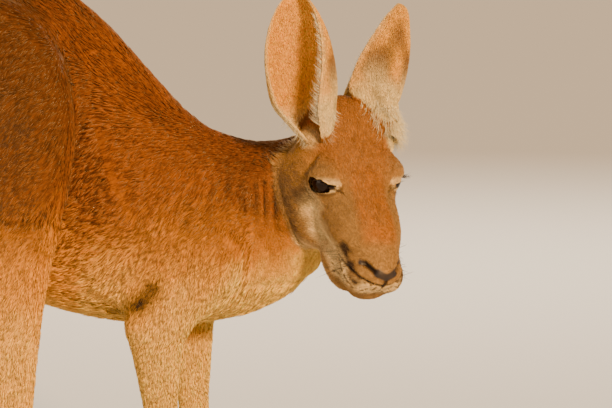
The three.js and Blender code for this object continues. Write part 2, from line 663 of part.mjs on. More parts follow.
// The tail beyond its root.
const tailWhole = solidOf(loft(TAIL.map(([x, z, w, h]) => station(V(x, 0, z), w, h)),
  { sides: 9, steps: 12, domes: [0, 0.9] })).subtract(underground);
keep('tail_middle', largest(tailWhole.subtract(tailBefore(TAIL_CUTS[1])).subtract(tailBeyond(TAIL_CUTS[2]))),
  COLOURS.coat);
keep('tail_tip', largest(tailWhole.subtract(tailBefore(TAIL_CUTS[2]))), COLOURS.coat);

// The lower limbs, each cut level where it meets the joint above and the hand or foot below.
for (const side of Object.keys(SIDES)) {
  keep(`forearm_${side}`, levelCut(forearm(side), WRIST_Z, ELBOW_Z - CUT), COLOURS.pale);
  keep(`shank_${side}`, levelCut(shank(side), ANKLE_Z, KNEE_Z - CUT), COLOURS.pale);
}

// Hands and feet, each with its claws in sockets.
function withClaws(name, base, claws) {
  let solid = base;
  claws.forEach(({ id, ...shape }) => {
    solid = solid.subtract(claw(shape, CUT));
    keep(`claw_${id}`, claw(shape).subtract(underground), COLOURS.claw, 0.4);
  });
  keep(name, largest(solid), COLOURS.pale);
}
for (const [side, s] of Object.entries(SIDES)) {
  const { palm, fingers } = handParts(side);
  const hand = joined([palm, ...fingers.map((f) => f.solid)])
    .subtract(underground).subtract(beyond(V(0, 0, WRIST_Z - CUT), V(0, 0, 1)));
  withClaws(`hand_${side}`, hand, fingers.map(({ tip, way, radius }, n) => ({
    id: `hand_${side}_${n + 1}`, at: tip.clone().addScaledVector(way, radius * 0.55).add(V(0, 0, 1.5)), way,
    length: 19, radius: 3.6, droop: 5,
  })));

  const { solids, along } = footParts(side);
  const foot = joined(solids).subtract(underground).subtract(beyond(V(0, 0, ANKLE_Z - CUT), V(0, 0, 1)));
  const forward = V(1, 0, 0);
  const outward = V(1, s * 0.1, 0).normalize();
  withClaws(`foot_${side}`, foot, [
    { id: `foot_${side}_4`, at: along(308, 6, 12), way: forward, length: 36, radius: 7, droop: 8 },
    { id: `foot_${side}_5`, at: along(257, 31, 10), way: outward, length: 22, radius: 5, droop: 6 },
    { id: `foot_${side}_2`, at: along(230, -20, 11), way: forward, length: 13, radius: 3.2, droop: 5 },
  ]);
}

// ---------------------------------------------------------------- the group
const kangaroo = new THREE.Group();
kangaroo.name = 'red_kangaroo';
for (const [name, { solid, colour, roughness }] of parts) {
  const whole = largest(solidOf(geometryOf(solid)));
  const mesh = new THREE.Mesh(geometryOf(whole), material(colour, roughness));
  mesh.name = name;
  kangaroo.add(mesh);
}
// The origin is on the ground, under the middle of the box that holds the animal.
const box = new THREE.Box3().setFromObject(kangaroo);
kangaroo.position.set(-(box.min.x + box.max.x) / 2, -(box.min.y + box.max.y) / 2, 0);

export default kangaroo;
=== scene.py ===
# %% [markdown]
# # A red kangaroo, life size
# The animal rests on all fours, rump high, with its head turned to its right. A real kangaroo has one
# skin under a short dense coat. Here one mesh stands for that skin, thousands of small solid tufts
# stand for the hair, and the eyes and claws are pieces of their own. Everything is placed from the
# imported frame, whose solids give the outline out to the tips of the coat.

# %% Load the frame and measure it
import math

import bmesh
import bpy
import numpy as np
from mathutils import Euler, Matrix, Vector
from mathutils.bvhtree import BVHTree


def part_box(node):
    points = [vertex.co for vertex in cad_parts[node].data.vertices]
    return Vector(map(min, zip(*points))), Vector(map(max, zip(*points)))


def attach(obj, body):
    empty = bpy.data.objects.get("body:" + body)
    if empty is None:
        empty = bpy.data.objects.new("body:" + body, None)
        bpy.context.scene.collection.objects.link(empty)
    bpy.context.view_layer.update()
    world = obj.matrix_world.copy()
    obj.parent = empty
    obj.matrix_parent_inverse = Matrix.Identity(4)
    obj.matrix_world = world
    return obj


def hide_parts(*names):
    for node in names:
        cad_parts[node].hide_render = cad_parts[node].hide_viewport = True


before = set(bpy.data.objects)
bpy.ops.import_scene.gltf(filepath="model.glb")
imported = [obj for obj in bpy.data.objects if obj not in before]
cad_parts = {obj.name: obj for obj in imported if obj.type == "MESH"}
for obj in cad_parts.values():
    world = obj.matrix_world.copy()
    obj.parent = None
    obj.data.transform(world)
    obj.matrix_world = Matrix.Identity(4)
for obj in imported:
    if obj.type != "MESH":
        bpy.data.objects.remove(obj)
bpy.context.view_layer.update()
MM = 0.001

# %% [markdown]
# ## Where things are
# The head is turned, nodded and tilted, so its features are easiest to place in a frame of their own:
# x to the nose, y to its left, z to the crown. The two eyes of the frame give that frame its place.
# The limbs and trunk are placed in the body's frame, whose origin is on the ground under the elbows.

# %% The head's frame and the body's
HEAD_TURN, HEAD_NOD, HEAD_LEAN = -65, 45, -2      # degrees
HEAD_SCALE = 1.065 * MM                           # one unit of the head's frame, in metres
EYE_BACK, EYE_OUT, EYE_RADIUS = -7, 35, 14.08     # the eyeballs, in the head's frame
EYES_IN_BODY = Vector((56.3, -86.7, 444)) * MM    # the point between the eyes, in the body's frame


def centre_of(node):
    low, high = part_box(node)
    return (Vector(low) + Vector(high)) / 2


head_way = Euler([math.radians(a) for a in (HEAD_LEAN, HEAD_NOD, HEAD_TURN)], "XYZ").to_matrix()
eyes_middle = (centre_of("eye_left") + centre_of("eye_right")) / 2
head_origin = eyes_middle - head_way @ Vector((EYE_BACK, 0, 0)) * HEAD_SCALE
body_origin = head_origin - EYES_IN_BODY
HEAD_R, HEAD_O, BODY_O = np.array(head_way), np.array(head_origin), np.array(body_origin)


def to_head(points):
    return (points - HEAD_O) @ HEAD_R / HEAD_SCALE


def from_head(points):
    return np.asarray(points, float) @ HEAD_R.T * HEAD_SCALE + HEAD_O


def to_body(points):
    return (points - BODY_O) / MM


print("head at", [round(x, 3) for x in head_origin], "body origin", [round(x, 4) for x in body_origin])

# %% [markdown]
# ## Small helpers
# Meshes pass through numpy, which moves a hundred thousand points at once. A point set is read from a
# mesh, changed, and written back. Colours are given as sRGB hex and turned to linear by one function.

# %% Mesh and number helpers
def points_of(mesh):
    flat = np.empty(len(mesh.vertices) * 3, np.float32)
    mesh.vertices.foreach_get("co", flat)
    return flat.reshape(-1, 3).astype(float)


def normals_of(mesh):
    flat = np.empty(len(mesh.vertices) * 3, np.float32)
    mesh.vertices.foreach_get("normal", flat)
    return flat.reshape(-1, 3).astype(float)


def edges_of(mesh):
    flat = np.empty(len(mesh.edges) * 2, np.int32)
    mesh.edges.foreach_get("vertices", flat)
    return flat.reshape(-1, 2)


def set_points(mesh, points):
    mesh.vertices.foreach_set("co", np.ascontiguousarray(points, np.float32).ravel())
    mesh.update()


def tree_of(mesh):
    """A tree that finds the nearest place on a mesh."""
    return BVHTree.FromPolygons(points_of(mesh).tolist(), [list(f.vertices) for f in mesh.polygons])


def add_object(name, mesh):
    made = bpy.data.objects.new(name, mesh)
    bpy.context.scene.collection.objects.link(made)
    return made


def with_modifiers(thing):
    """The thing's mesh with its modifiers applied; the modifiers are then removed."""
    depsgraph = bpy.context.evaluated_depsgraph_get()
    mesh = bpy.data.meshes.new_from_object(thing.evaluated_get(depsgraph))
    thing.modifiers.clear()
    thing.data = mesh
    return mesh


def blend_in(low, high, value):
    """0 below low, 1 above high, and a smooth rise between them."""
    t = np.clip((value - low) / (high - low), 0, 1)
    return t * t * (3 - 2 * t)


def linear(hex_colour):
    """An sRGB hex colour as linear red, green and blue."""
    channels = [int(hex_colour[i:i + 2], 16) / 255 for i in (1, 3, 5)]
    return [c / 12.92 if c <= 0.04045 else ((c + 0.055) / 1.055) ** 2.4 for c in channels]


def unit(vectors):
    return vectors / np.maximum(np.linalg.norm(vectors, axis=-1, keepdims=True), 1e-12)


# %% [markdown]
# ## The skin, first pass
# The flesh of the frame is in many closed pieces, parted by thin cuts. Each piece is copied, grown by
# half a millimetre so that the copies overlap, and all are turned into one surface by a voxel remesh.
# Where the tail leaves the rump the solids leave a dip, which real muscle fills, so an ellipsoid is
# added there first. Bridging the cuts by hand would leave seams in the shading.

# %% One surface from the flesh nodes
VOXEL, GROWN = 0.003, 0.0005      # metres
TAIL_JOINT, JOINT_RADII, JOINT_LEAN = (-634, 0, 466), (62, 85, 100), -45    # body's frame, mm, degrees


def is_flesh(name):
    return not name.startswith(("claw", "eye", "ear"))


flesh = sorted(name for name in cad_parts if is_flesh(name))
fused = bmesh.new()
for name in flesh:
    piece = bmesh.new()
    piece.from_mesh(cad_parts[name].data)
    bmesh.ops.remove_doubles(piece, verts=piece.verts, dist=1e-6)
    piece.normal_update()
    for vert in piece.verts:
        vert.co += vert.normal * GROWN
    grown = bpy.data.meshes.new("grown")
    piece.to_mesh(grown)
    fused.from_mesh(grown)
    piece.free()
    bpy.data.meshes.remove(grown)
filler = Matrix.LocRotScale(body_origin + Vector(TAIL_JOINT) * MM, Euler((0, math.radians(JOINT_LEAN), 0)),
                            Vector(JOINT_RADII) * MM)
bmesh.ops.create_icosphere(fused, subdivisions=4, radius=1, matrix=filler)
skin_mesh = bpy.data.meshes.new("skin")
fused.to_mesh(skin_mesh)
fused.free()
skin = add_object("skin", skin_mesh)
remesh = skin.modifiers.new("one surface", "REMESH")
remesh.mode = "VOXEL"
remesh.voxel_size = VOXEL
skin_mesh = with_modifiers(skin)
print("skin, first pass:", len(skin_mesh.vertices), "points")

# %% [markdown]
# ## Zones and smoothing
# A voxel remesh keeps the broad faces of the solids. Real muscle under skin has none, so the surface is
# relaxed towards the mean of its neighbours, most where the body is thick and hardly at all in the
# toes. One rate for the whole body would melt the hands before it smoothed the rump.

# %% Which part of the body each point belongs to
corner_sets, face_sets, face_zone, start = [], [], [], 0
for number, name in enumerate(flesh):
    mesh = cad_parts[name].data
    corner_sets.append(points_of(mesh))
    face_sets += [[start + v for v in face.vertices] for face in mesh.polygons]
    face_zone += [number] * len(mesh.polygons)
    start += len(mesh.vertices)
flesh_tree = BVHTree.FromPolygons(np.vstack(corner_sets).tolist(), face_sets)


def zones_of(points):
    """For each point, the number of the flesh node that it lies nearest to."""
    return np.array([face_zone[flesh_tree.find_nearest(p)[2]] for p in points.tolist()])


def by_zone(zones, values, default):
    """A number for each point, from a table by the start of its node's name."""
    table = []
    for name in flesh:
        match = [value for start_of, value in values.items() if name.startswith(start_of)]
        table.append(match[0] if match else default)
    return np.array(table, float)[zones]


def smoothed(values, edges, rates, rounds):
    """Each value moves towards the mean of its neighbours, at its own rate, again and again."""
    values = values.astype(float).copy()
    count = np.bincount(edges.ravel(), minlength=len(values)).astype(float)
    a, b = edges[:, 0], edges[:, 1]
    columns = values.reshape(len(values), -1)
    rates = np.broadcast_to(rates, (len(values),))
    for _ in range(rounds):
        for c in range(columns.shape[1]):
            around = np.bincount(a, columns[b, c], len(values)) + np.bincount(b, columns[a, c], len(values))
            columns[:, c] += rates * (around / count - columns[:, c])
    return columns.reshape(values.shape)


# %% Smooth each zone at its own rate
SMOOTHING = {"trunk": 1.0, "thigh": 0.9, "neck": 0.8, "tail_root": 0.8, "upper_arm": 0.35,
             "shank": 0.16, "forearm": 0.1, "hand": 0.025, "foot": 0.04, "head": 0.05,
             "tail_middle": 0.25, "tail_tip": 0.12}
SMOOTH_ROUNDS, FASTEST = 110, 0.7    # of the way to the neighbours' mean, in one round
points, edges = points_of(skin_mesh), edges_of(skin_mesh)
rates = smoothed(by_zone(zones_of(points), SMOOTHING, 0.1), edges, 0.5, 20) * FASTEST
points = smoothed(points, edges, rates, SMOOTH_ROUNDS)
set_points(skin_mesh, points)
print("skin smoothed")

# %% [markdown]
# ## The head's form
# A face needs finer forms than the remesh keeps. So the head is described again, in its own frame, as
# rounded swellings and tapered limbs that run softly into each other: braincase, cheeks, muzzle, lips.
# The function below is negative inside the head and positive outside. Each point of the skin's head
# slides along the function's slope until it lies the coat's depth inside the head's surface.

# %% Swellings, limbs and how they run together
def limb(p, a, ra, b, rb, flat=1.0):
    """A tapered limb from a to b, flat times as wide (in y) as it is deep."""
    squash = np.array([1, 1 / flat, 1])
    axis = (np.array(b, float) - a) * squash
    q = (p - a) * squash
    t = np.clip(q @ axis / (axis @ axis), 0, 1)
    reach = np.linalg.norm(q - t[:, None] * axis, axis=1)
    return (reach - (ra + (rb - ra) * t)) * min(1, flat * 1.1)


def swelling(p, centre, radii, pitch=0, yaw=0):
    """An ellipsoid, tipped by pitch degrees in the xz plane and turned by yaw degrees."""
    turn = np.array(Euler((0, math.radians(pitch), math.radians(yaw)), "XYZ").to_matrix())
    k = (p - centre) @ turn / radii
    near = np.maximum(np.linalg.norm(k, axis=1), 1e-6)
    return near * (near - 1) / np.maximum(np.linalg.norm(k / radii, axis=1), 1e-9)


def soft_min(a, b, k):
    h = np.maximum(k - np.abs(a - b), 0) / k
    return np.minimum(a, b) - h * h * k / 4


FACE_BLEND = 12                   # how softly the forms of the face run together, in the head's units
EAR_MOUND = {-1: ((-58, -37, 8), 14), 1: ((-48, 44, 19), 16)}    # end and radius of each ear's root


def head_form(p):
    """Distance-like: negative inside the head, in the head's own units."""
    forms = [
        swelling(p, (-46, 0, -8), (52, 45, 41)),                # braincase
        swelling(p, (-68, 0, 13), (34, 40, 29)),                # crown
        swelling(p, (-14, 0, 6), (30, 38, 22), 12),             # forehead
        limb(p, (2, 0, -16), 35, (52, 0, -21), 29, 1.06),       # muzzle
        limb(p, (52, 0, -21), 29, (86, 0, -28), 24, 1.13),
        limb(p, (10, 0, 4), 16, (78, 0, -6), 12, 1.35),         # bridge of the nose
        swelling(p, (94, 0, -17), (15, 18, 12)),                # nose pad
        limb(p, (-34, 0, -64), 21, (44, 0, -56), 18, 1.6),      # lower jaw
        limb(p, (44, 0, -56), 18, (90, 0, -53), 13, 1.85),      # chin
    ]
    for s in (-1, 1):
        forms += [
            limb(p, (-52, s * 28, -4), 22, *EAR_MOUND[s]),                     # root of the ear
            swelling(p, (-34, s * 40, -40), (38, 22, 35), 14),                 # jaw muscle
            swelling(p, (-14, s * 29, -58), (42, 25, 28)),                     # throat
            swelling(p, (EYE_BACK, s * EYE_OUT, 0), (17, 17, 16.5)),           # lids
            swelling(p, (-8, s * 34, 12), (20, 11, 8), 12, s * -12),           # brow
            swelling(p, (24, s * 26, -19), (38, 14, 21), -6, s * -8),          # cheekbone
            swelling(p, (86, s * 17, -36), (20, 16, 13)),                      # upper lip
            swelling(p, (60, s * 18, -62), (22, 13, 14)),                      # side of the chin
        ]
    form = forms[0]
    for other in forms[1:]:
        form = soft_min(form, other, FACE_BLEND)
    return form


def slide_onto(points, form, depth, keep=None, rounds=5):
    """Moves points along the form's slope to where it reads -depth; keep gives 0 for points to leave."""
    points = points.copy()
    step = 0.05
    for _ in range(rounds):
        value = form(points)
        slope = np.stack([(form(points + step * axis) - value) / step for axis in np.eye(3)], axis=1)
        move = -(value + depth)[:, None] * slope / np.maximum((slope ** 2).sum(1), 0.2)[:, None]
        move *= np.minimum(1, 6 / np.maximum(np.linalg.norm(move, axis=1), 1e-9))[:, None]
        points += move if keep is None else move * keep[:, None]
    return points


# %% [markdown]
# ## The skin, second pass
# The trunk doesn't need points every three millimetres, and the face needs them closer. A decimate
# weighted by a vertex group thins the broad parts, and two rounds of subdivision refine the face.

# %% Thin the broad parts, refine the face
COAT_DEPTH = {"trunk": 6, "thigh": 5.5, "neck": 6, "tail_root": 6, "upper_arm": 4.5, "shank": 3,
              "forearm": 2.5, "hand": 1.5, "foot": 1.8, "head": 2.2, "tail_middle": 5, "tail_tip": 4}
BROAD = {"trunk": 1, "thigh": 1, "neck": 0.8, "tail_root": 1, "upper_arm": 0.5, "shank": 0.5,
         "tail_middle": 0.9, "tail_tip": 0.4, "foot": 0.1, "hand": 0, "forearm": 0.1, "head": 0}
THINNED_TO = 0.12                 # the share of faces kept, which holds the skin under 200,000 triangles
zones = zones_of(points)
depth = smoothed(by_zone(zones, COAT_DEPTH, 3), edges, 0.5, 12) * MM
set_points(skin_mesh, points - normals_of(skin_mesh) * depth[:, None])
broad = by_zone(zones, BROAD, 0)
group = skin.vertex_groups.new(name="broad")
for level in sorted(set(BROAD.values())):
    group.add(np.flatnonzero(broad == level).tolist(), level, "REPLACE")
thin = skin.modifiers.new("thin the broad parts", "DECIMATE")
thin.ratio = THINNED_TO
thin.vertex_group = "broad"
thin.use_collapse_triangulate = True
skin_mesh = with_modifiers(skin)
print("skin thinned:", len(skin_mesh.polygons), "faces")


def refine(mesh, wanted):
    """Splits every edge of the faces whose middles are wanted, a test in the head's frame."""
    work = bmesh.new()
    work.from_mesh(mesh)
    middles = np.array([face.calc_center_median()[:] for face in work.faces])
    chosen = wanted(to_head(middles))
    work.faces.ensure_lookup_table()
    sides = {edge for n in np.flatnonzero(chosen) for edge in work.faces[n].edges}
    bmesh.ops.subdivide_edges(work, edges=list(sides), cuts=1, use_grid_fill=True)
    bmesh.ops.triangulate(work, faces=[face for face in work.faces if len(face.verts) > 4])
    work.to_mesh(mesh)
    work.free()


def is_face(p):
    return (np.abs(head_form(p)) < 12) & (p[:, 0] > -32)


def is_feature(p):
    eye = np.minimum(*(np.linalg.norm(p - (EYE_BACK, s * EYE_OUT, 0), axis=1) for s in (-1, 1)))
    return (np.abs(head_form(p)) < 12) & ((eye < 22) | ((p[:, 0] > 82) & (p[:, 2] > -42)))


# %% Slide the head onto its form
refine(skin_mesh, is_face)
refine(skin_mesh, is_feature)
points, edges = points_of(skin_mesh), edges_of(skin_mesh)
in_head = to_head(points)
HEAD_COAT = 1.6                   # how far the skin lies inside the head's form, in its units
onto = 1 - blend_in(3, 11, head_form(in_head))
onto *= blend_in(-104, -86, in_head[:, 0])
on_head = onto > 0
in_head[on_head] = slide_onto(in_head[on_head], head_form, HEAD_COAT, onto[on_head])
points[on_head] = from_head(in_head[on_head])
points = smoothed(points, edges, np.where(on_head, 0.4, 0.0), 3)
set_points(skin_mesh, points)
print("skin refined:", len(skin_mesh.polygons), "faces,", int(on_head.sum()), "points on the head")
skin_mesh.shade_smooth()

# %% [markdown]
# ## The ears
# An ear is a leaf of gristle rolled round its own length: nearly a tube at the root, a wide cup in the
# middle, almost flat at the tip. It follows one rule, so it is made as two sheets of points, an inner
# and an outer, joined round the rim. A boolean then makes it one surface with the head.

# %% Ear leaves
EAR_ROOT, EAR_LENGTH, EAR_SUNK = (-60, 41, 20), 164, 15
EAR_HALF, EAR_BODY, EAR_COAT = 37.5, 2.4, 0.9     # half the width, the wall, and the coat over it
EAR_POSE = {-1: dict(tip=(-31, 8, 158), opening=(-0.3, -0.95, 0.05), shift=6),
            1: dict(tip=(3, 78, 137), opening=(-0.98, -0.16, 0.05), shift=3.5)}
EAR_ROWS, EAR_COLUMNS = 64, 44
EAR_ROUND = 0.47                  # the lower, the rounder the ear's outline
EAR_TIP, EAR_TIP_BACK = 0.75, 11  # beyond this share of its length the ear leans back, by mm at its tip


def ear_frame(s):
    """Root, length's way, back's way and side's way of an ear, in the body's frame."""
    pose = EAR_POSE[s]
    ahead = unit(np.array(pose["tip"], float))
    opening = np.array(pose["opening"], float)
    back = -unit(opening - opening @ ahead * ahead)
    root = to_body(from_head((EAR_ROOT[0], s * EAR_ROOT[1], EAR_ROOT[2])))
    return root - ahead * EAR_SUNK + (pose["shift"], 0, 0), ahead, back, np.cross(ahead, back)


def ear_section(u):
    """At u along the ear: the bend's radius, how far round it wraps, and how far forward it sits."""
    half = np.maximum(EAR_HALF * np.sin(math.pi * (0.1 + 0.9 * u) ** 1.1) ** EAR_ROUND, 2.4)
    wrap = np.radians(150 + (84 - 150) * u ** 1.2)
    bend = half * np.minimum(1, 0.72 + 0.28 * u / 0.3) / np.sin(np.minimum(wrap, math.pi / 2))
    forward = 0.85 * bend * (1 - u) * np.minimum(1, 4 * u)
    tip = np.clip((u - EAR_TIP) / (1 - EAR_TIP), 0, 1)
    return bend, wrap, forward - EAR_TIP_BACK * tip ** 2


def ear_point(s, u, v, layer):
    """Places on an ear: u from root to tip, v from -1 to 1 across, layer -1 inner to 1 outer."""
    root, ahead, back, side = ear_frame(s)
    bend, wrap, forward = ear_section(u)
    bend = np.maximum(bend - EAR_COAT, 1.0)
    wall = EAR_BODY * (1 - 0.35 * u)
    ripple = 0.5 * np.sin(9 * v + 5 * u) * np.sin(3 + 11 * u) * np.sin(math.pi * u)
    radius = bend + ripple + layer * wall * (1 - 0.5 * v ** 6) / 2
    place = (root + ahead * (EAR_LENGTH - 1.5) * u[:, None]
             + back * (np.cos(v * wrap) * radius - forward)[:, None]
             + side * (np.sin(v * wrap) * radius)[:, None])
    return place * MM + BODY_O


def ear_leaf(s):
    """The closed mesh of one ear's skin."""
    u, v = np.meshgrid(np.linspace(0.0, 1, EAR_ROWS + 1), np.linspace(-1, 1, EAR_COLUMNS + 1), indexing="ij")
    sheets = [ear_point(s, u.ravel(), v.ravel(), layer) for layer in (1, -1)]
    wide, count = EAR_COLUMNS + 1, len(u.ravel())
    faces = []
    for i in range(EAR_ROWS):
        for j in range(EAR_COLUMNS):
            a, b, c, d = i * wide + j, i * wide + j + 1, (i + 1) * wide + j + 1, (i + 1) * wide + j
            faces += [(a, b, c, d), (count + d, count + c, count + b, count + a)]
    rim = ([(0, j) for j in range(EAR_COLUMNS)] + [(i, EAR_COLUMNS) for i in range(EAR_ROWS)]
           + [(EAR_ROWS, j) for j in range(EAR_COLUMNS, 0, -1)] + [(i, 0) for i in range(EAR_ROWS, 0, -1)])
    round_rim = [i * wide + j for i, j in rim]
    for a, b in zip(round_rim, round_rim[1:] + round_rim[:1]):
        faces.append((b, a, count + a, count + b))
    mesh = bpy.data.meshes.new("ear leaf")
    mesh.from_pydata(np.vstack(sheets).tolist(), [], faces)
    work = bmesh.new()
    work.from_mesh(mesh)
    bmesh.ops.recalc_face_normals(work, faces=work.faces)
    if work.calc_volume(signed=True) < 0:
        bmesh.ops.reverse_faces(work, faces=work.faces)
    work.to_mesh(mesh)
    work.free()
    return mesh


for s in (-1, 1):
    leaf = add_object("ear_leaf", ear_leaf(s))
    union = skin.modifiers.new("ear", "BOOLEAN")
    union.operation, union.solver, union.object = "UNION", "MANIFOLD", leaf
    skin_mesh = with_modifiers(skin)
    bpy.data.objects.remove(leaf)
    print("ear", s, "joined:", len(skin_mesh.polygons), "faces")

# %% [markdown]
# ## Eyelids
# A resting kangaroo's lids are half shut: a flat almond, with a heavy brow above and a crease below.
# Points near a line move in or out by an amount that falls off with their distance from it, so a crease
# is as fine as the mesh allows. Lids modelled apart would show a seam in the coat.

# %% How far each point is from a line
def from_line(points, line):
    """Distance to a broken line, and how far along it (0 to 1) the nearest place is."""
    line = np.array(line, float)
    best, along = np.full(len(points), 1e9), np.zeros(len(points))
    for n, (a, b) in enumerate(zip(line, line[1:])):
        t = np.clip((points - a) @ (b - a) / ((b - a) @ (b - a)), 0, 1)
        reach = np.linalg.norm(points - a - t[:, None] * (b - a), axis=1)
        nearer = reach < best
        best[nearer], along[nearer] = reach[nearer], (n + t[nearer]) / (len(line) - 1)
    return best, along


def mirrored(line, s):
    """A line given for the right side, put on side s."""
    return np.array(line, float) * (1, -s, 1)


EYE_FACES, EYE_SLANT = (0.54, 0.83, 0.1), 33
BROW_ARC = [(-17, -51, -14), (-20, -50, -2), (-20.6, -47.3, 8.1), (-18.5, -40, 17), (-16.1, -31, 24)]
LID_HALF, LID_TOP, LID_BOTTOM = 13.2, 2.9, 3.6   # half the almond's length, and its height each way
LID_SHIFT, LID_RISE = 6.0, 1.0   # the almond's middle: towards the nose and up, from the eye's own


def eye_frame(s):
    """The eye's centre and its ways: out, along to the nose, and up across the lids."""
    centre = np.array((EYE_BACK, s * EYE_OUT, 0), float)
    out = unit(np.array((EYE_FACES[0], s * EYE_FACES[1], EYE_FACES[2])))
    slant = math.radians(EYE_SLANT)
    along = np.array((math.cos(slant), 0, math.sin(slant)))
    along = unit(along - along @ out * out)
    up = np.cross(along, out)
    return centre, out, along, up * np.sign(up[2])


def eye_coordinates(p, s):
    centre, out, along, up = eye_frame(s)
    q = p - centre
    return q @ along, q @ up, q @ out


def lid_gap(a, b):
    """How far outside the almond of the open lids a place is, in units; negative inside it."""
    a, b = a - LID_SHIFT, b - LID_RISE
    t = np.clip(a / LID_HALF, -1, 1)
    top = LID_TOP * np.maximum(1 - t * t, 0) ** 0.8
    bottom = LID_BOTTOM * np.maximum(1 - t * t, 0) ** 0.62
    height = np.where(b > 0, b - top, -b - bottom)
    return np.where(np.abs(a) < LID_HALF, height * 0.85, np.hypot(np.abs(a) - LID_HALF, b))


# %% Refine round the lids, then shape them
def is_lid(p):
    wanted = np.zeros(len(p), bool)
    for s in (-1, 1):
        a, b, o = eye_coordinates(p, s)
        wanted |= (np.abs(lid_gap(a, b)) < 3.2) & (o > 5) & (np.abs(a) < 24) & (np.abs(b) < 12)
    return wanted


refine(skin_mesh, is_lid)
points, edges = points_of(skin_mesh), edges_of(skin_mesh)
in_head = to_head(points)
for s in (-1, 1):
    centre = eye_frame(s)[0]
    a, b, o = eye_coordinates(in_head, s)
    near = (o > 2) & (np.hypot(a, b) < 34)
    gap = lid_gap(a, b)
    ray = unit(in_head - centre)
    reach = np.linalg.norm(in_head - centre, axis=1)
    rim = np.exp(-((gap - 1.1) / 1.2) ** 2) * 0.9 * (b > 0)
    rim += np.exp(-((gap - 1.2) / 1.1) ** 2) * 0.55 * (b <= 0)
    fold = -1.1 * np.exp(-((gap - 4.4) / 1.0) ** 2) * (b > 0) * blend_in(-17, -9, a) * blend_in(20, 12, a)
    bag = (-0.7 * np.exp(-((gap - 5.0) / 1.4) ** 2) + 0.4 * np.exp(-((gap - 8) / 2) ** 2)) * (b <= 0)
    bag *= blend_in(20, 10, np.abs(a))
    arc, _ = from_line(in_head, mirrored(BROW_ARC, s))
    brow = -2.0 * np.exp(-(arc / 2.0) ** 2) + 0.8 * np.exp(-((arc - 5) / 2.5) ** 2)
    swell = 2.2 * np.exp(-((gap - 9) / 4.5) ** 2) * (b > 0) * blend_in(24, 10, np.abs(a - 2))
    lift = np.where(near, rim + fold + bag + brow + swell, 0)
    least = np.maximum(EYE_RADIUS + 0.9 - reach, 0) * (near & (gap > 0) & (np.hypot(a, b) < 19))
    in_head += ray * (lift + least)[:, None]
    sunk = 1 - blend_in(-0.7, 0.2, gap)
    deep = (EYE_RADIUS - 2.2) - np.linalg.norm(in_head - centre, axis=1)
    in_head += ray * np.where(near & (o > 5), sunk * deep, 0)[:, None]
points = from_head(in_head)
set_points(skin_mesh, points)
print("lids shaped:", len(skin_mesh.polygons), "faces")

# %% [markdown]
# ## Nostrils and mouth
# The nostrils, the mouth line and the groove under the nose are only millimetres wide, so each is a
# line of places in the head's frame, laid on the head's skin, that presses a groove into it. A boolean
# cut would leave sharp edges that flesh doesn't have.

# %% Nostrils, mouth line, lip and tear line
NOSTRIL = [(86, -21.5, -15), (90, -21.5, -10.5), (96, -18.5, -9), (101.5, -14.5, -9.5), (105.5, -10, -12)]
NOSE_LEATHER = [(104, -10, -10), (108, -5, -11), (109.5, 0, -12)]
MOUTH = [(56, -31, -37), (70, -31.5, -31), (85.7, -29, -24.5), (99.3, -23.4, -22.5), (107.3, -14.9, -22.5),
         (111.3, -5, -24), (111.8, 0, -25)]
PHILTRUM = [(111, 0, -14.5), (111.8, 0, -20), (112, 0, -25)]
TEAR_LINE = [(13, -36, 10.5), (15.5, -31.5, 10.8), (18.5, -26.5, 10.5)]


def groove(points, line, reach, depth, taper=0.15):
    """How deep a groove along the line is at each point."""
    apart, along = from_line(points, line)
    ends = blend_in(0, taper, along) * blend_in(0, taper, 1 - along) if taper else 1
    return depth * np.exp(-(apart / reach) ** 2) * ends


def laid(line):
    """The line's places slid onto the head's skin."""
    return slide_onto(np.array(line, float), head_form, HEAD_COAT)


NOSTRIL, MOUTH, PHILTRUM = laid(NOSTRIL), laid(MOUTH), laid(PHILTRUM)
TEAR_LINE, NOSE_LEATHER = laid(TEAR_LINE), laid(NOSE_LEATHER)
normals = unit(normals_of(skin_mesh) @ HEAD_R)
sunk = np.zeros(len(in_head))
for s in (-1, 1):
    sunk += groove(in_head, mirrored(NOSTRIL, s), 2.7, 7.0, 0.3)
    sunk -= groove(in_head, mirrored(np.array(NOSTRIL) + (0.5, -1.6, 4.6), s), 2.6, 2.0, 0.3)
    sunk += groove(in_head, mirrored(np.array(NOSTRIL) + (-6, -6, -3), s), 3.5, 1.2, 0.3)
    sunk += groove(in_head, mirrored(MOUTH, s), 1.35, 2.4, 0.08)
    sunk -= groove(in_head, mirrored(np.array(MOUTH) + (0.8, 0, 3.6), s), 2.2, 0.7)
    sunk -= groove(in_head, mirrored(np.array(MOUTH) + (0.5, 0, -4.0), s), 2.4, 0.6)
    sunk += groove(in_head, mirrored(TEAR_LINE, s), 1.3, 1.0, 0.3)
sunk += groove(in_head, PHILTRUM, 1.2, 1.4, 0.1)
in_head -= normals * sunk[:, None]
points = from_head(in_head)
points = smoothed(points, edges, np.where(np.abs(sunk) > 0.02, 0.18, 0.0), 2)
set_points(skin_mesh, points)
skin_mesh.shade_smooth()
print("face shaped:", sum(len(face.vertices) - 2 for face in skin_mesh.polygons), "triangles")

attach(skin, "root")
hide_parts(*flesh, "ear_left", "ear_right")
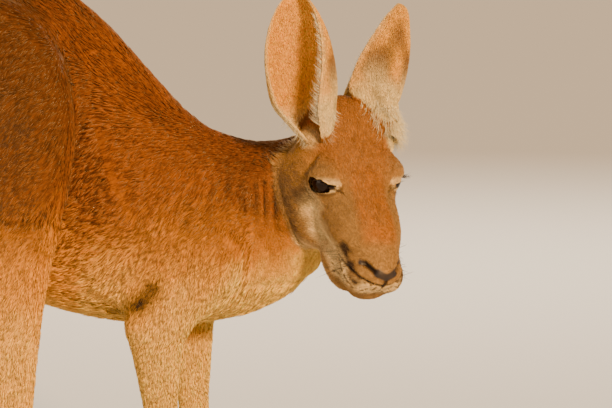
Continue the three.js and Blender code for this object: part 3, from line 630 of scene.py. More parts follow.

# %% [markdown]
# ## The eyes
# A kangaroo's eye shows almost only its dark brown iris behind a clear wet cornea. One smooth ball
# with a slight bulge in front stands for it, with the dark brown in its material.

# %% Eyeballs
def eyeball(s):
    centre, out, along, _ = eye_frame(s)
    made = bmesh.new()
    bmesh.ops.create_uvsphere(made, u_segments=48, v_segments=32, radius=1)
    shape = np.array([v.co[:] for v in made.verts])
    bulge = 1 + 0.05 * blend_in(0.72, 0.97, shape[:, 2])
    ways = np.stack([along, np.cross(out, along), out])
    placed = from_head((shape * bulge[:, None] * EYE_RADIUS) @ ways + centre)
    for vert, place in zip(made.verts, placed):
        vert.co = place
    bmesh.ops.recalc_face_normals(made, faces=made.faces)
    mesh = bpy.data.meshes.new("eyeball")
    made.to_mesh(mesh)
    made.free()
    mesh.shade_smooth()
    return mesh


eyes = {}
for s, side in ((-1, "right"), (1, "left")):
    eyes[s] = add_object("eyeball_" + side, eyeball(s))
    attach(eyes[s], "root")
    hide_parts("eye_" + side)

# %% [markdown]
# ## Markings
# A red kangaroo is rust brown above and pale cream beneath, with a pale cheek stripe, a rusty nose
# bridge and dark whisker beds. Skin and hair must agree, so one function gives the colour of any place
# on the body, from masks that fade into each other, roughened by a smooth noise.

# %% Noise and masks
def soft_noise(p, size, seed):
    """A smooth value around 0, whose waves are about size long; p and size in one unit."""
    draw = np.random.default_rng(seed)
    total = np.zeros(len(p))
    for _ in range(10):
        wave = draw.normal(size=3)
        wave *= 2 * math.pi / (size * draw.uniform(0.6, 1.7)) / np.linalg.norm(wave)
        total += np.sin(p @ wave + draw.uniform(0, 6.28))
    return total / 3.2


def blob(p, centre, radii, edge=0.5):
    """1 inside an ellipsoid, fading to 0 outside it over edge of its radius."""
    apart = np.linalg.norm((p - np.array(centre, float)) / radii, axis=1)
    return 1 - blend_in(1 - edge / 2, 1 + edge / 2, apart)


def stripe(p, line, width, edge=0.5):
    """1 near a broken line, fading over edge of its width."""
    apart, _ = from_line(p, line)
    return 1 - blend_in(width * (1 - edge), width * (1 + edge), apart)


def ear_place(body, s):
    """For places in the body's frame: how far up ear s, how far across, inner or outer, and how near."""
    root, ahead, back, side = ear_frame(s)
    q = body - root
    u = q @ ahead / EAR_LENGTH
    bend, wrap, forward = ear_section(np.clip(u, 0, 1))
    x, y = q @ back + forward, q @ side
    v = np.arctan2(y, x) / wrap
    layer = np.hypot(x, y) - bend
    near = (np.abs(layer) < 7) & (u > 0.02) & (u < 1.04) & (np.abs(v) < 1.25)
    return u, v, layer, near


def ears_of(p_world):
    """Which ear (-1, 0 or 1) each place is on, and its u, v and layer there."""
    body, head = to_body(p_world), to_head(p_world)
    free = head_form(head) > 2.0
    which, u, v, layer = (np.zeros(len(body)) for _ in range(4))
    for s in (-1, 1):
        eu, ev, el, near = ear_place(body, s)
        mine = near & free
        which[mine], u[mine], v[mine], layer[mine] = s, eu[mine], ev[mine], el[mine]
    return which, u, v, layer


# %% Colours, and how they are laid over each other
RUST, DEEP_RUST, GOLD, CREAM = "#965410", "#6a3a10", "#e69c2a", "#fccf68"
GREY_BUFF, ORANGE, PALE_LID, DARK = "#a88048", "#b87222", "#fbdc9e", "#33231a"
# The inner ear's gold is lighter than its own colour: partly painted glow of light through the ear.
NOSE_SKIN, EAR_GOLD_GLOW, EAR_BACK, WHITE_HAIR = "#241a17", "#fdbb46", "#94693c", "#ffecb0"
HAND_DARK, TAIL_PALE, CHEEK_BROWN, HAUNCH = "#6b4e37", "#cfa468", "#6f5132", "#5c3612"


def painted(colour, *layers):
    """Linear colours with each layer, a hex colour and its mask, laid over them in turn."""
    for hex_colour, mask in layers:
        colour = colour + (np.array(linear(hex_colour)) - colour) * np.clip(mask, 0, 1)[:, None]
    return colour


def plain(hex_colour, count):
    return np.tile(linear(hex_colour), (count, 1))


def on_right(p):
    """Places of the left half put at their mirror places on the right."""
    return np.column_stack([p[:, 0], -np.abs(p[:, 1]), p[:, 2]])


def laid_on_side(line):
    """Places given by x and z in the body's frame, found on its right side by rays from the right."""
    side_tree = tree_of(skin_mesh)
    found = []
    for x, z in line:
        start = Vector((body_origin.x + x * MM, -1, z * MM))
        hit = side_tree.ray_cast(start, Vector((0, 1, 0)))[0]
        hit = hit or side_tree.find_nearest(start + Vector((0, 0.97, 0)))[0]
        found.append(to_body(np.array(hit)))
    return np.array(found)


# %% The folds of the neck, the elbow and the thigh
CHEEK_GROOVE = laid_on_side([(-32, 488), (-33, 447), (-32, 400), (-25, 382)])
WHISKER_BED = laid([(65, -32, -17), (76, -31, -20), (88, -29, -23.5), (99, -27, -27)])
NECK_FOLDS = [laid_on_side(line) for line in (
    [(-42, 486), (-45, 440), (-43, 392)], [(-51, 480), (-55, 440), (-52, 398)],
    [(-61, 474), (-66, 440), (-62, 404)], [(-74, 466), (-81, 436), (-80, 408)],
    [(-90, 456), (-99, 428), (-102, 400)], [(-112, 440), (-122, 414), (-126, 384)])]
ARM_FOLD = laid_on_side([(-156, 348), (-176, 322), (-204, 295)])
THIGH_EDGE = laid_on_side([(-270, 628), (-240, 575), (-234, 520), (-246, 472), (-260, 417), (-276, 361)])


def fold_depth(b):
    """How deep each place lies in a fold, from 0 to 1.2 of the full depth."""
    right = on_right(b)
    deep = groove(right, CHEEK_GROOVE, 3.6, 1.1, 0.2)
    for n, line in enumerate(NECK_FOLDS):
        deep += groove(right, line, 2.3 + 0.4 * n, 0.95 - 0.1 * n, 0.3)
    deep += groove(right, ARM_FOLD, 9, 1.2, 0.2) + groove(right, THIGH_EDGE, 7, 0.45, 0.2)
    return np.clip(deep, 0, 1.2)


print("folds on each side:", len(NECK_FOLDS) + 3)


# %% The colour of any place on the body
def body_colour(b, n):
    """Colour of trunk, limbs and tail at places b (body's frame, mm) with normals n, with painted shade in the
    folds and, in part, on the back, rump and haunch.
    """
    x, z = b[:, 0], b[:, 2]
    rough = soft_noise(b, 60, 3) * 0.5 + soft_noise(b, 22, 4) * 0.5
    low = z + 14 * rough
    belly = (1 - blend_in(300, 385, low)) * (1 - blend_in(-0.15, 0.5, n[:, 2])) * (x > -450)
    front = n @ unit(np.array((0.72, 0, -0.69))) + 0.12 * rough
    throat = blend_in(0.42, 0.8, front) * blend_in(-175, -120, x) * (1 - blend_in(380, 430, z))
    leg = (x < -240) & (x > -640)
    tail = 1 - blend_in(-760, -690, x)
    edge = np.interp(z, THIGH_EDGE[::-1, 2], THIGH_EDGE[::-1, 0])
    haunch = blend_in(2, 16, edge - x + 5 * rough) * blend_in(350, 530, low) * blend_in(-720, -600, x)
    toes = blend_in(-260, -180, x) * (1 - blend_in(30, 60, z)) * (x < -60)
    return painted(
        plain(RUST, len(b)),
        # partly the coat's own darker back, partly painted shade: darker where the surface faces up
        (DEEP_RUST, blend_in(0.3, 1.0, n[:, 2] + 0.25 * rough) * 0.7),                   # back
        (GOLD, (1 - blend_in(330, 440, low)) * (x > -420) * 0.9),                        # lower flank
        (CREAM, belly * 0.85),
        (CREAM, throat),
        (CREAM, (1 - blend_in(215, 295, low)) * blend_in(-240, -200, x) * 0.9),          # forearms
        (GOLD, (1 - blend_in(320, 450, low)) * leg * 0.8),
        (CREAM, (1 - blend_in(270, 345, low)) * leg * 0.7),
        (TAIL_PALE, tail * 0.75),
        (CREAM, tail * blend_in(0.1, 0.8, -n[:, 2]) * 0.7),                              # under the tail
        (GREY_BUFF, (1 - blend_in(60, 150, low)) * leg * 0.55),                          # heels
        (HAND_DARK, (1 - blend_in(30, 75, low)) * blend_in(-110, -60, x) * 0.8),         # hands
        # painted shade in the folds: the groove behind the cheek, the neck's folds, the elbow's fold and the
        # thigh's front edge
        (DARK, fold_depth(b) * 0.9),
        # partly the rump's own darker coat, partly painted shade
        (DEEP_RUST, blob(b, (-430, 0, 600), (170, 400, 230), 0.6) * 0.7),                # rump
        # partly a darker haunch, partly painted shade on the thigh
        (HAUNCH, haunch * 0.7),
        (HAND_DARK, toes * 0.6))


def on_form(p):
    """Places of the muzzle slid out of its grooves, onto the head's form; others as they are."""
    p = p.copy()
    deep = (p[:, 0] > 50) & (np.abs(head_form(p)) < 14)
    p[deep] = slide_onto(p[deep], head_form, HEAD_COAT, rounds=3)
    return p


def head_colour(p):
    """Colour of the head at places p (head's frame), with painted shade in the brow's crease and the crease
    below the eye.
    """
    p = on_form(p)
    right = on_right(p)
    rough = soft_noise(p, 16, 5)
    bridge = [(12, -7, 24), (72, -6, 4)]
    cheek = [(2, -48, -22), (17, -41, -33), (33, -34, -41), (56, -34, -38), (78, -33, -38)]
    jaw = [(-30, -55, -16), (-26, -56, -36), (0, -53, -66)]
    lips = [(66, -30, -48), (86, -27, -38), (104, -16, -32), (110, 0, -34)]
    streaks = np.clip(0.8 + 0.5 * soft_noise(p, 7, 9), 0, 1)
    speckle = blend_in(0.35, 0.8, soft_noise(p, 4.5, 6)) * stripe(right, lips, 10, 0.4)
    a, b, o = eye_coordinates(right, -1)
    gap = np.where(o > 4, lid_gap(a, b), 99)
    arc, _ = from_line(right, BROW_ARC)
    return painted(
        plain(GREY_BUFF, len(p)),
        (ORANGE, blob(right, (-62, 0, 26), (76, 52, 42), 0.6) * 0.75),                   # crown
        (GOLD, blob(right, (-40, -46, -12), (26, 20, 22), 0.9) * 0.35),                  # behind the eye
        (ORANGE, stripe(right, bridge, 13, 0.45) * (0.85 + 0.1 * rough)),
        (GREY_BUFF, blob(right, (92, -6, -6), (22, 24, 14), 0.6) * 0.8),                 # above the nose
        (PALE_LID, stripe(right, cheek, 13 + 1.8 * rough, 0.6)),
        (PALE_LID, blob(right, (14, -20, -76), (76, 30, 18), 0.5) * 0.8),                # under the jaw
        (WHITE_HAIR, blob(p, (-46, 50, 17), (22, 15, 22), 0.6) * 0.9),                   # base of each ear
        (WHITE_HAIR, blob(p, (-50, -47, 16), (12, 12, 12), 0.8) * 0.5),
        (CHEEK_BROWN, stripe(right, jaw, 15, 0.7) * 0.75 * streaks),
        (PALE_LID, stripe(right, lips, 8, 0.6) * 0.8),
        (DARK, stripe(right, WHISKER_BED, 5.5, 0.7) * np.clip(0.9 + 0.5 * rough, 0, 1)),
        (DARK, speckle * 0.8),
        (NOSE_SKIN, stripe(right, NOSE_LEATHER, 4.2, 0.4) * 0.96),
        (NOSE_SKIN, stripe(right, PHILTRUM, 2.6, 0.5) * 0.9),
        (NOSE_SKIN, stripe(right, NOSTRIL, 3.0, 0.6) * 0.96),
        (NOSE_SKIN, stripe(right, MOUTH, 1.5, 0.6) * 0.9),
        (DARK, blob(right, (-6, -52, -24), (14, 10, 10), 0.9) * 0.75),                   # below the eye
        (PALE_LID, (1 - blend_in(3, 7, gap)) * (b > 0) * 0.6),                           # upper lid
        (PALE_LID, (1 - blend_in(3, 5, gap)) * (b <= -1) * 0.85),                        # lower lid
        # painted shade in the crease below the lower lid
        (DARK, np.exp(-((gap - 6.0) / 1.6) ** 2) * (b <= -1) * 0.65),                    # crease below it
        (NOSE_SKIN, (1 - blend_in(0.6, 1.5, gap)) * 0.97),                               # lids' rims
        # painted shade in the brow's crease
        (DARK, np.exp(-(arc / 1.5) ** 2) * 0.55),                                        # brow's crease
        (NOSE_SKIN, stripe(right, TEAR_LINE, 1.5, 0.6) * 0.85))


def ear_colour(u, v, layer):
    """Colour of an ear: gold inside, brightened as painted glow, with a pale rim and a painted shadow along the
    inner fold; brown and white outside.
    """
    # painted shadow in the ear's cup along its inner rim
    ear_fold_shadow = np.exp(-((v + 0.62) / 0.12) ** 2) * (1 - blend_in(0.4, 0.7, u))
    edge = blend_in(0.8, 1.0, np.abs(v))
    outside = painted(plain(EAR_BACK, len(u)), (WHITE_HAIR, (1 - blend_in(0.2, 0.55, u)) * 0.8))
    # inside: gold brightened as painted glow of light through the ear
    inside = painted(plain(EAR_GOLD_GLOW, len(u)), (PALE_LID, 1 - blend_in(0.1, 0.32, u)),
                     (PALE_LID, edge * 0.6), (DARK, ear_fold_shadow * 0.9))
    return outside + (inside - outside) * (1 - blend_in(-0.4, 0.4, layer))[:, None]


def coat_colour(places, normals):
    """The coat's colour at world places with world normals."""
    body, head = to_body(places), to_head(places)
    form = head_form(head)
    on_head = (1 - blend_in(1.5, 6, form)) * blend_in(-96, -74, head[:, 0])
    colour = body_colour(body, normals)
    colour = colour + (head_colour(head) - colour) * on_head[:, None]
    which, u, v, layer = ears_of(places)
    for s in (-1, 1):
        mine = which == s
        colour[mine] = ear_colour(u[mine], v[mine], layer[mine])
    return colour * (1 + 0.1 * soft_noise(body, 9, 8))[:, None]


def give_colours(mesh, colours):
    layer = mesh.color_attributes.new("coat colour", "FLOAT_COLOR", "POINT")
    rgba = np.ones((len(colours), 4), np.float32)
    rgba[:, :3] = np.clip(colours, 0, 1)
    layer.data.foreach_set("color", rgba.ravel())


# %% Press the folds in and colour the skin
FOLD_DEPTH = 5 * MM
SKIN_SHADE = 0.85                 # skin between the tufts is in their shade
skin_points, skin_normals = points_of(skin_mesh), normals_of(skin_mesh)
skin_points -= skin_normals * (fold_depth(to_body(skin_points)) * FOLD_DEPTH)[:, None]
set_points(skin_mesh, skin_points)
give_colours(skin_mesh, coat_colour(skin_points, skin_normals) * SKIN_SHADE)
print("markings given to", len(skin_points), "points")
skin_tree = tree_of(skin_mesh)


def on_skin(places):
    """The nearest places on the skin, and its normals there."""
    found = [skin_tree.find_nearest(p) for p in places.tolist()]
    return np.array([f[0] for f in found]), np.array([f[1] for f in found])


# %% [markdown]
# ## Materials
# Hair is matt with a soft sheen along its edges. The skin shows between the tufts, so it carries a
# fine bump at the scale of flat short hair. The eye is wet and nearly black. Claws are dark horn.
# The markings could be an image, but an image has seams where it is cut to lie flat. They are carried
# by the points instead, which gives skin and tufts one and the same colour.

# %% Helpers for materials and nodes
def material(name, **settings):
    """A new material whose shader sockets, named with _ for a space, have the given values."""
    made = bpy.data.materials.new(name)
    made.use_nodes = True
    shader = made.node_tree.nodes["Principled BSDF"]
    for key, value in settings.items():
        shader.inputs[key.replace("_", " ")].default_value = value
    return made, made.node_tree, shader


def add_node(tree, kind, settings=(), **links):
    """Adds a node, sets its properties and sockets, and links the sockets that are given outputs."""
    node = tree.nodes.new(kind)
    for key, value in dict(settings).items():
        setattr(node, key, value)
    for key, value in links.items():
        socket = node.inputs[key.replace("_", " ")]
        if isinstance(value, bpy.types.NodeSocket):
            tree.links.new(value, socket)
        else:
            socket.default_value = value
    return node


def dress(mesh, *made):
    """Gives a mesh these materials and no others, the first of them on every face."""
    mesh.materials.clear()
    for each in made:
        mesh.materials.append(each)
    mesh.polygons.foreach_set("material_index", np.zeros(len(mesh.polygons), np.int32))


# %% Short hair
HAIR_WIDTH = 0.9 * MM       # a lock of short hair: a single hair is too fine to show


def hair_material(name, roughness, sheen, bump):
    """Short dense hair: matt, lit softly at its edges, in the colours of the markings."""
    made, tree, shader = material(name, Roughness=roughness, Sheen_Weight=sheen, Sheen_Roughness=0.4,
                                  Sheen_Tint=(*linear("#ffe2b4"), 1), Specular_IOR_Level=0.12)
    markings = add_node(tree, "ShaderNodeAttribute", {"attribute_name": "coat colour"})
    place = add_node(tree, "ShaderNodeTexCoord").outputs["Object"]
    locks = add_node(tree, "ShaderNodeTexNoise", Vector=place, Scale=1 / HAIR_WIDTH / 3, Detail=3.0)
    shade = add_node(tree, "ShaderNodeMapRange", Value=locks.outputs["Fac"], From_Min=0.3, From_Max=0.7,
                     To_Min=0.82, To_Max=1.17)
    tinted = add_node(tree, "ShaderNodeVectorMath", {"operation": "SCALE"},
                      Vector=markings.outputs["Color"], Scale=shade.outputs["Result"])
    tree.links.new(tinted.outputs["Vector"], shader.inputs["Base Color"])
    if bump:
        height = add_node(tree, "ShaderNodeBump", Strength=bump, Distance=HAIR_WIDTH,
                          Height=locks.outputs["Fac"])
        tree.links.new(height.outputs["Normal"], shader.inputs["Normal"])
    return made


skin_hair = hair_material("short flat hair on skin", 0.8, 0.15, 0.6)
tuft_hair = hair_material("tufts of kangaroo hair", 0.72, 0.25, 0)
print("made", skin_hair.name, "and", tuft_hair.name)


# %% Bare leather of the nose and lids
PEBBLE = 0.9 * MM           # one pebble of nose leather


def nose_material():
    """Bare damp nose leather and lid rims: almost black, finely pebbled, with a soft gloss."""
    made, tree, shader = material("bare damp nose leather", Roughness=0.5)
    markings = add_node(tree, "ShaderNodeAttribute", {"attribute_name": "coat colour"})
    tree.links.new(markings.outputs["Color"], shader.inputs["Base Color"])
    place = add_node(tree, "ShaderNodeTexCoord").outputs["Object"]
    pebbles = add_node(tree, "ShaderNodeTexVoronoi", Vector=place, Scale=1 / PEBBLE)
    height = add_node(tree, "ShaderNodeBump", Strength=0.4, Distance=PEBBLE / 3,
                      Height=pebbles.outputs["Distance"])
    tree.links.new(height.outputs["Normal"], shader.inputs["Normal"])
    return made


dress(skin_mesh, skin_hair, nose_material())
corner_places = skin_points[np.array([face.vertices[0] for face in skin_mesh.polygons])]
face_places = on_right(on_form(to_head(corner_places)))
along_eye, across_eye, out_eye = eye_coordinates(face_places, -1)
leather = (from_line(face_places, NOSE_LEATHER)[0] < 4.4) | (from_line(face_places, NOSTRIL)[0] < 3.0)
leather |= (np.abs(lid_gap(along_eye, across_eye)) < 0.9) & (out_eye > 4) & (np.abs(along_eye) < 22)
skin_mesh.polygons.foreach_set("material_index", leather.astype(np.int32))
print("bare leather:", int(leather.sum()), "faces")


# %% Eyes, claws and long hair
def streaked(name, per_metre, detail, dark, pale, **settings):
    """A smooth material that runs between two linear colours, with so many streaks in a metre."""
    made, tree, shader = material(name, **settings)
    place = add_node(tree, "ShaderNodeTexCoord").outputs["Object"]
    streaks = add_node(tree, "ShaderNodeTexNoise", Vector=place, Scale=per_metre, Detail=detail)
    ramp = add_node(tree, "ShaderNodeValToRGB", Fac=streaks.outputs["Fac"])
    for element, colour in zip(ramp.color_ramp.elements, (dark, pale)):
        element.color = (*colour, 1)
    tree.links.new(ramp.outputs["Color"], shader.inputs["Base Color"])
    return made


# A wet cornea over a dark brown iris: nearly black, with a sharp highlight. The rays of a real iris
# are too fine to show, so they are drawn 1.1 mm wide.
wet_eye = streaked("wet dark eye", 900.0, 2.0, linear("#080403"), linear("#1e0f07"), Roughness=0.12,
                   IOR=1.38, Specular_IOR_Level=0.3, Coat_Weight=0.15, Coat_Roughness=0.03)
for s in (-1, 1):
    eyes[s].data.materials.append(wet_eye)

# Dark keratin horn: smooth, a little glossy, clouded every 4.5 mm.
claw_horn = streaked("dark claw horn", 220.0, 4.0, linear("#17110d"), linear("#4a3a2c"),
                     Roughness=0.38, IOR=1.55)


def plain_hair(name, hex_colour, roughness=0.5):
    """Long single hairs: smooth, a little glossy, in one colour that varies every 3.3 mm or so."""
    dark, pale = ([min(c * share, 1) for c in linear(hex_colour)] for share in (0.75, 1.1))
    return streaked(name, 300.0, 2.0, dark, pale, Roughness=roughness)


# %% [markdown]
# ## Claws
# Each claw is a curved horn. The frame's claws have few sides, so a copy of each is merged, subdivided
# and relaxed into a smooth horn, a piece of its own that keeps its place in the toe.

# %% Smooth claws
for name in sorted(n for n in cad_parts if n.startswith("claw")):
    made = bmesh.new()
    made.from_mesh(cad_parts[name].data)
    bmesh.ops.remove_doubles(made, verts=made.verts, dist=1e-6)
    mesh = bpy.data.meshes.new(name)
    made.to_mesh(mesh)
    made.free()
    horn = add_object(name.replace("claw", "horn"), mesh)
    rounding = horn.modifiers.new("round", "SUBSURF")
    rounding.levels = rounding.render_levels = 2
    mesh = with_modifiers(horn)
    dress(mesh, claw_horn)
    mesh.shade_smooth()
    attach(horn, "root")
    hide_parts(name)
print("claws smoothed")

# %% [markdown]
# ## Lashes, whiskers and ear fringe
# These are single long hairs. One tree of geometry nodes grows a bent, tapered hair from every point
# of a mesh, along the way, curl and length that the point carries. The result is made a plain mesh.

# %% The tree that grows hairs from points
def hair_tree(hair):
    tree = bpy.data.node_groups.new("long hairs", "GeometryNodeTree")
    tree.interface.new_socket("Roots", in_out="INPUT", socket_type="NodeSocketGeometry")
    thin, bend = (tree.interface.new_socket(name, in_out="INPUT", socket_type="NodeSocketFloat")
                  for name in ("Radius as a share of length", "Bend as a share of length"))
    tree.interface.new_socket("Hairs", in_out="OUTPUT", socket_type="NodeSocketGeometry")
    source = tree.nodes.new("NodeGroupInput")
    tip = add_node(tree, "ShaderNodeCombineXYZ", X=source.outputs[2], Z=1.0)
    shaft = add_node(tree, "GeometryNodeCurveQuadraticBezier", Resolution=5, Start=(0, 0, 0),
                     Middle=(0, 0, 0.55), End=tip.outputs["Vector"])
    along = add_node(tree, "GeometryNodeSplineParameter")
    taper = add_node(tree, "ShaderNodeMapRange", Value=along.outputs["Factor"], To_Min=1.0, To_Max=0.12)
    radius = add_node(tree, "ShaderNodeMath", {"operation": "MULTIPLY"})
    tree.links.new(taper.outputs["Result"], radius.inputs[0])
    tree.links.new(source.outputs[1], radius.inputs[1])
    sized = add_node(tree, "GeometryNodeSetCurveRadius", Curve=shaft.outputs["Curve"], Radius=radius.outputs[0])
    ring = add_node(tree, "GeometryNodeCurvePrimitiveCircle", Resolution=4, Radius=1.0)
    solid = add_node(tree, "GeometryNodeCurveToMesh", Curve=sized.outputs["Curve"],
                     Profile_Curve=ring.outputs["Curve"], Scale=radius.outputs[0], Fill_Caps=True)
    way, curl, long = (
        add_node(tree, "GeometryNodeInputNamedAttribute", {"data_type": kind}, Name=name)
        for name, kind in (("way", "FLOAT_VECTOR"), ("curl", "FLOAT_VECTOR"), ("long", "FLOAT")))
    turned = add_node(tree, "FunctionNodeAlignRotationToVector", {"axis": "Z"}, Vector=way.outputs["Attribute"])
    rolled = add_node(tree, "FunctionNodeAlignRotationToVector", {"axis": "X", "pivot_axis": "Z"},
                      Rotation=turned.outputs["Rotation"], Vector=curl.outputs["Attribute"])
    points = add_node(tree, "GeometryNodeMeshToPoints", Mesh=source.outputs[0])
    grown = add_node(tree, "GeometryNodeInstanceOnPoints", Points=points.outputs["Points"],
                     Instance=solid.outputs["Mesh"], Rotation=rolled.outputs["Rotation"],
                     Scale=long.outputs["Attribute"])
    real = add_node(tree, "GeometryNodeRealizeInstances", Geometry=grown.outputs["Instances"])
    dressed = add_node(tree, "GeometryNodeSetMaterial", Geometry=real.outputs["Geometry"], Material=hair)
    sink = tree.nodes.new("NodeGroupOutput")
    tree.links.new(dressed.outputs["Geometry"], sink.inputs[0])
    return tree, thin.identifier, bend.identifier


def grow_hairs(name, roots, ways, curls, lengths, hair, radius, bend):
    """A piece of long hairs, one from each root; lengths in metres, radius and bend as shares of length."""
    mesh = bpy.data.meshes.new(name)
    mesh.from_pydata([tuple(p) for p in roots], [], [])
    for key, values in (("way", ways), ("curl", curls)):
        carried = mesh.attributes.new(key, "FLOAT_VECTOR", "POINT")
        carried.data.foreach_set("vector", np.ravel(values).astype(np.float32))
    carried = mesh.attributes.new("long", "FLOAT", "POINT")
    carried.data.foreach_set("value", np.asarray(lengths, np.float32))
    piece = add_object(name, mesh)
    tree, thin, bent = hair_tree(hair)
    grown = piece.modifiers.new("hairs", "NODES")
    grown.node_group = tree
    grown[thin], grown[bent] = radius, bend
    mesh = with_modifiers(piece)
    mesh.shade_smooth()
    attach(piece, "root")
    print(name, len(mesh.polygons), "faces")


# %% Lashes and whiskers
draw = np.random.default_rng(5)


def world_way(local):
    return unit(np.asarray(local, float) @ HEAD_R.T)


lash_roots, lash_ways, lash_curls, lash_lengths = [], [], [], []
for s in (-1, 1):
    centre, out, along, up = eye_frame(s)
    for n in range(46):
        upper = n < 30
        a = draw.uniform(-13, 13)
        t = a / LID_HALF
        b = (LID_TOP * (1 - t * t) ** 0.8 + 0.8) if upper else -(LID_BOTTOM * (1 - t * t) ** 0.62 + 0.8)
        a, b = a + LID_SHIFT, b + LID_RISE
        spot = centre + along * a + up * b + out * math.sqrt(max(EYE_RADIUS ** 2 - a * a - b * b, 9)) * 1.09
        fan = -0.2 - a / 22
        lash_roots.append(spot)
        lash_ways.append(out * 0.9 + up * ((0.1 if upper else -0.7) + draw.normal(0, 0.1)) + along * fan * 0.6)
        lash_curls.append(up * (1 if upper else -1))
        lash_lengths.append(draw.uniform(7, 11) if upper else draw.uniform(2.5, 4.5))
lash_roots = on_skin(from_head(np.array(lash_roots)))[0]
grow_hairs("lashes", lash_roots, world_way(lash_ways), world_way(lash_curls), np.array(lash_lengths) * MM,
           plain_hair("dark lash hair", "#2a1c12"), 0.022, 0.3)

whisker_roots, whisker_ways, whisker_lengths = [], [], []
for s in (-1, 1):
    for n in range(26):
        spot = np.array((draw.uniform(58, 98), s * draw.uniform(27, 33), draw.uniform(-36, -18)))
        whisker_roots.append(spot)
        whisker_ways.append((draw.uniform(-0.5, 0.2), s * 0.8, draw.uniform(-0.8, -0.1)))
        whisker_lengths.append(draw.uniform(14, 34))
whisker_roots = on_skin(from_head(np.array(whisker_roots)))[0]
grow_hairs("whiskers", whisker_roots, world_way(whisker_ways), world_way([(-0.6, 0, -1)] * len(whisker_roots)),
           np.array(whisker_lengths) * MM, plain_hair("dark whisker", "#241a14"), 0.007, 0.35)

# %% The pale fringe of the ears
fringe_roots, fringe_ways, fringe_curls, fringe_lengths = [], [], [], []
for s in (-1, 1):
    root, ahead, back, side = ear_frame(s)
    for edge, count, longest in ((-1, 520, 19), (1, 200, 9)):
        u = draw.uniform(0.1, 0.82, count)
        v = edge * draw.uniform(0.86, 0.97, count)
        places = ear_point(s, u, v, -1.0 * np.ones(count))
        lean = draw.normal(0, 0.15, (count, 2))
        inward = -side * edge
        ways = ahead * 0.55 + inward * (0.75 + lean[:, :1]) - back * (0.35 + lean[:, 1:])
        fringe_roots.append(places)
        fringe_ways.append(unit(ways))
        fringe_curls.append(np.tile(ahead, (count, 1)))
        fringe_lengths.append(longest * draw.uniform(0.5, 1, count) * (1 - 0.6 * u))
for s, count in ((1, 900), (-1, 260)):
    root, ahead, back, side = ear_frame(s)
    u = draw.uniform(0.0, 0.2, count)
    v = draw.uniform(-0.95, 0.95, count)
    places = ear_point(s, u, v, np.ones(count))
    wrap = ear_section(u)[1]
    outward = back * np.cos(v * wrap)[:, None] + side * np.sin(v * wrap)[:, None]
    ways = outward * draw.uniform(0.15, 0.5, (count, 1)) - ahead * (1 if s > 0 else 0.7)
    fringe_roots.append(places)
    fringe_ways.append(unit(ways + draw.normal(0, 0.15, (count, 3))))
    fringe_curls.append(outward)
    fringe_lengths.append(draw.uniform(9, 17, count) * (1 if s > 0 else 0.6))
grow_hairs("ear_fringe", np.vstack(fringe_roots), np.vstack(fringe_ways), np.vstack(fringe_curls),
           np.concatenate(fringe_lengths) * MM, plain_hair("pale ear fringe", "#fbeecb", 0.6), 0.02, 0.3)

# %% [markdown]
# ## Which way the hair lies
# Hair runs from the nose over the crown, down the neck and back to the tail, and down each limb. A few
# dozen places with a known lie are enough: between them the lie is an average, weighted by nearness.

# %% The lie of the coat
BODY_LIE = [
    ((14, 0, 500), (-0.9, 0, -0.4)), ((-10, 50, 430), (-0.75, 0, -0.65)), ((-60, 70, 390), (-0.75, 0, -0.65)),
    ((-138, 90, 400), (-0.6, 0, -0.8)), ((-60, 0, 300), (-0.55, 0, -0.83)), ((-80, 60, 330), (-0.4, 0, -0.9)),
    ((-210, 92, 420), (-0.85, 0, -0.5)), ((-210, 0, 530), (-0.9, 0, 0.35)), ((-330, 0, 650), (-0.88, 0, 0.4)),
    ((-330, 110, 500), (-0.8, 0, -0.55)), ((-430, 0, 725), (-1, 0, 0.05)), ((-540, 0, 700), (-0.85, 0, -0.5)),
    ((-630, 0, 600), (-0.6, 0, -0.8)), ((-720, 0, 400), (-0.5, 0, -0.86)), ((-800, 0, 260), (-0.6, 0, -0.8)),
    ((-900, 0, 120), (-0.75, 0, -0.66)), ((-1010, 0, 60), (-1, 0, -0.15)), ((-1370, 0, 14), (-1, 0, 0)),
    ((-430, 130, 580), (-0.5, 0, -0.86)), ((-400, 130, 430), (0.1, 0, -1)), ((-430, 120, 300), (-0.1, 0, -1)),
    ((-500, 120, 150), (0, 0, -1)), ((-470, 110, 60), (0.7, 0, -0.7)), ((-330, 110, 30), (1, 0, -0.1)),
    ((-200, 110, 20), (1, 0, -0.1)), ((-300, 0, 320), (-1, 0, 0.1)), ((-170, 0, 300), (-0.9, 0, 0.1)),
    ((-110, 70, 300), (-0.1, 0, -1)), ((-100, 60, 200), (0, 0, -1)), ((-95, 60, 80), (0.2, 0, -1)),
    ((-50, 70, 20), (1, 0, -0.2)),
]
HEAD_LIE = [
    ((104, 0, -10), (-0.9, 0, 0.4)), ((60, 0, 8), (-1, 0, 0.2)), ((0, 0, 28), (-1, 0, 0.15)),
    ((-50, 0, 42), (-1, 0, 0.1)), ((-95, 0, 20), (-0.6, 0, -0.8)), ((70, 30, -25), (-0.9, 0.2, -0.4)),
    ((20, 40, -15), (-0.95, 0, -0.3)), ((-5, 50, -20), (-0.9, 0, -0.45)), ((-45, 55, -30), (-0.75, 0, -0.65)),
    ((-20, 50, -75), (-0.9, 0, -0.4)), ((60, 0, -70), (-1, 0, 0)), ((105, 0, -40), (-0.5, 0, -0.85)),
    ((90, 25, -45), (-0.8, 0.2, -0.5)), ((-12, 45, 18), (-0.8, 0.5, 0.2)), ((-55, 35, 20), (-0.8, 0.4, 0.4)),
]


def averaged(p, guides, softness):
    total = np.zeros((len(p), 3))
    for place, way in guides:
        for s in ((-1, 1) if place[1] else (1,)):
            apart = ((p - np.array(place, float) * (1, s, 1)) ** 2).sum(1)
            total += np.array(way, float) * (1, s, 1) / (apart + softness ** 2)[:, None] ** 2
    return unit(total)


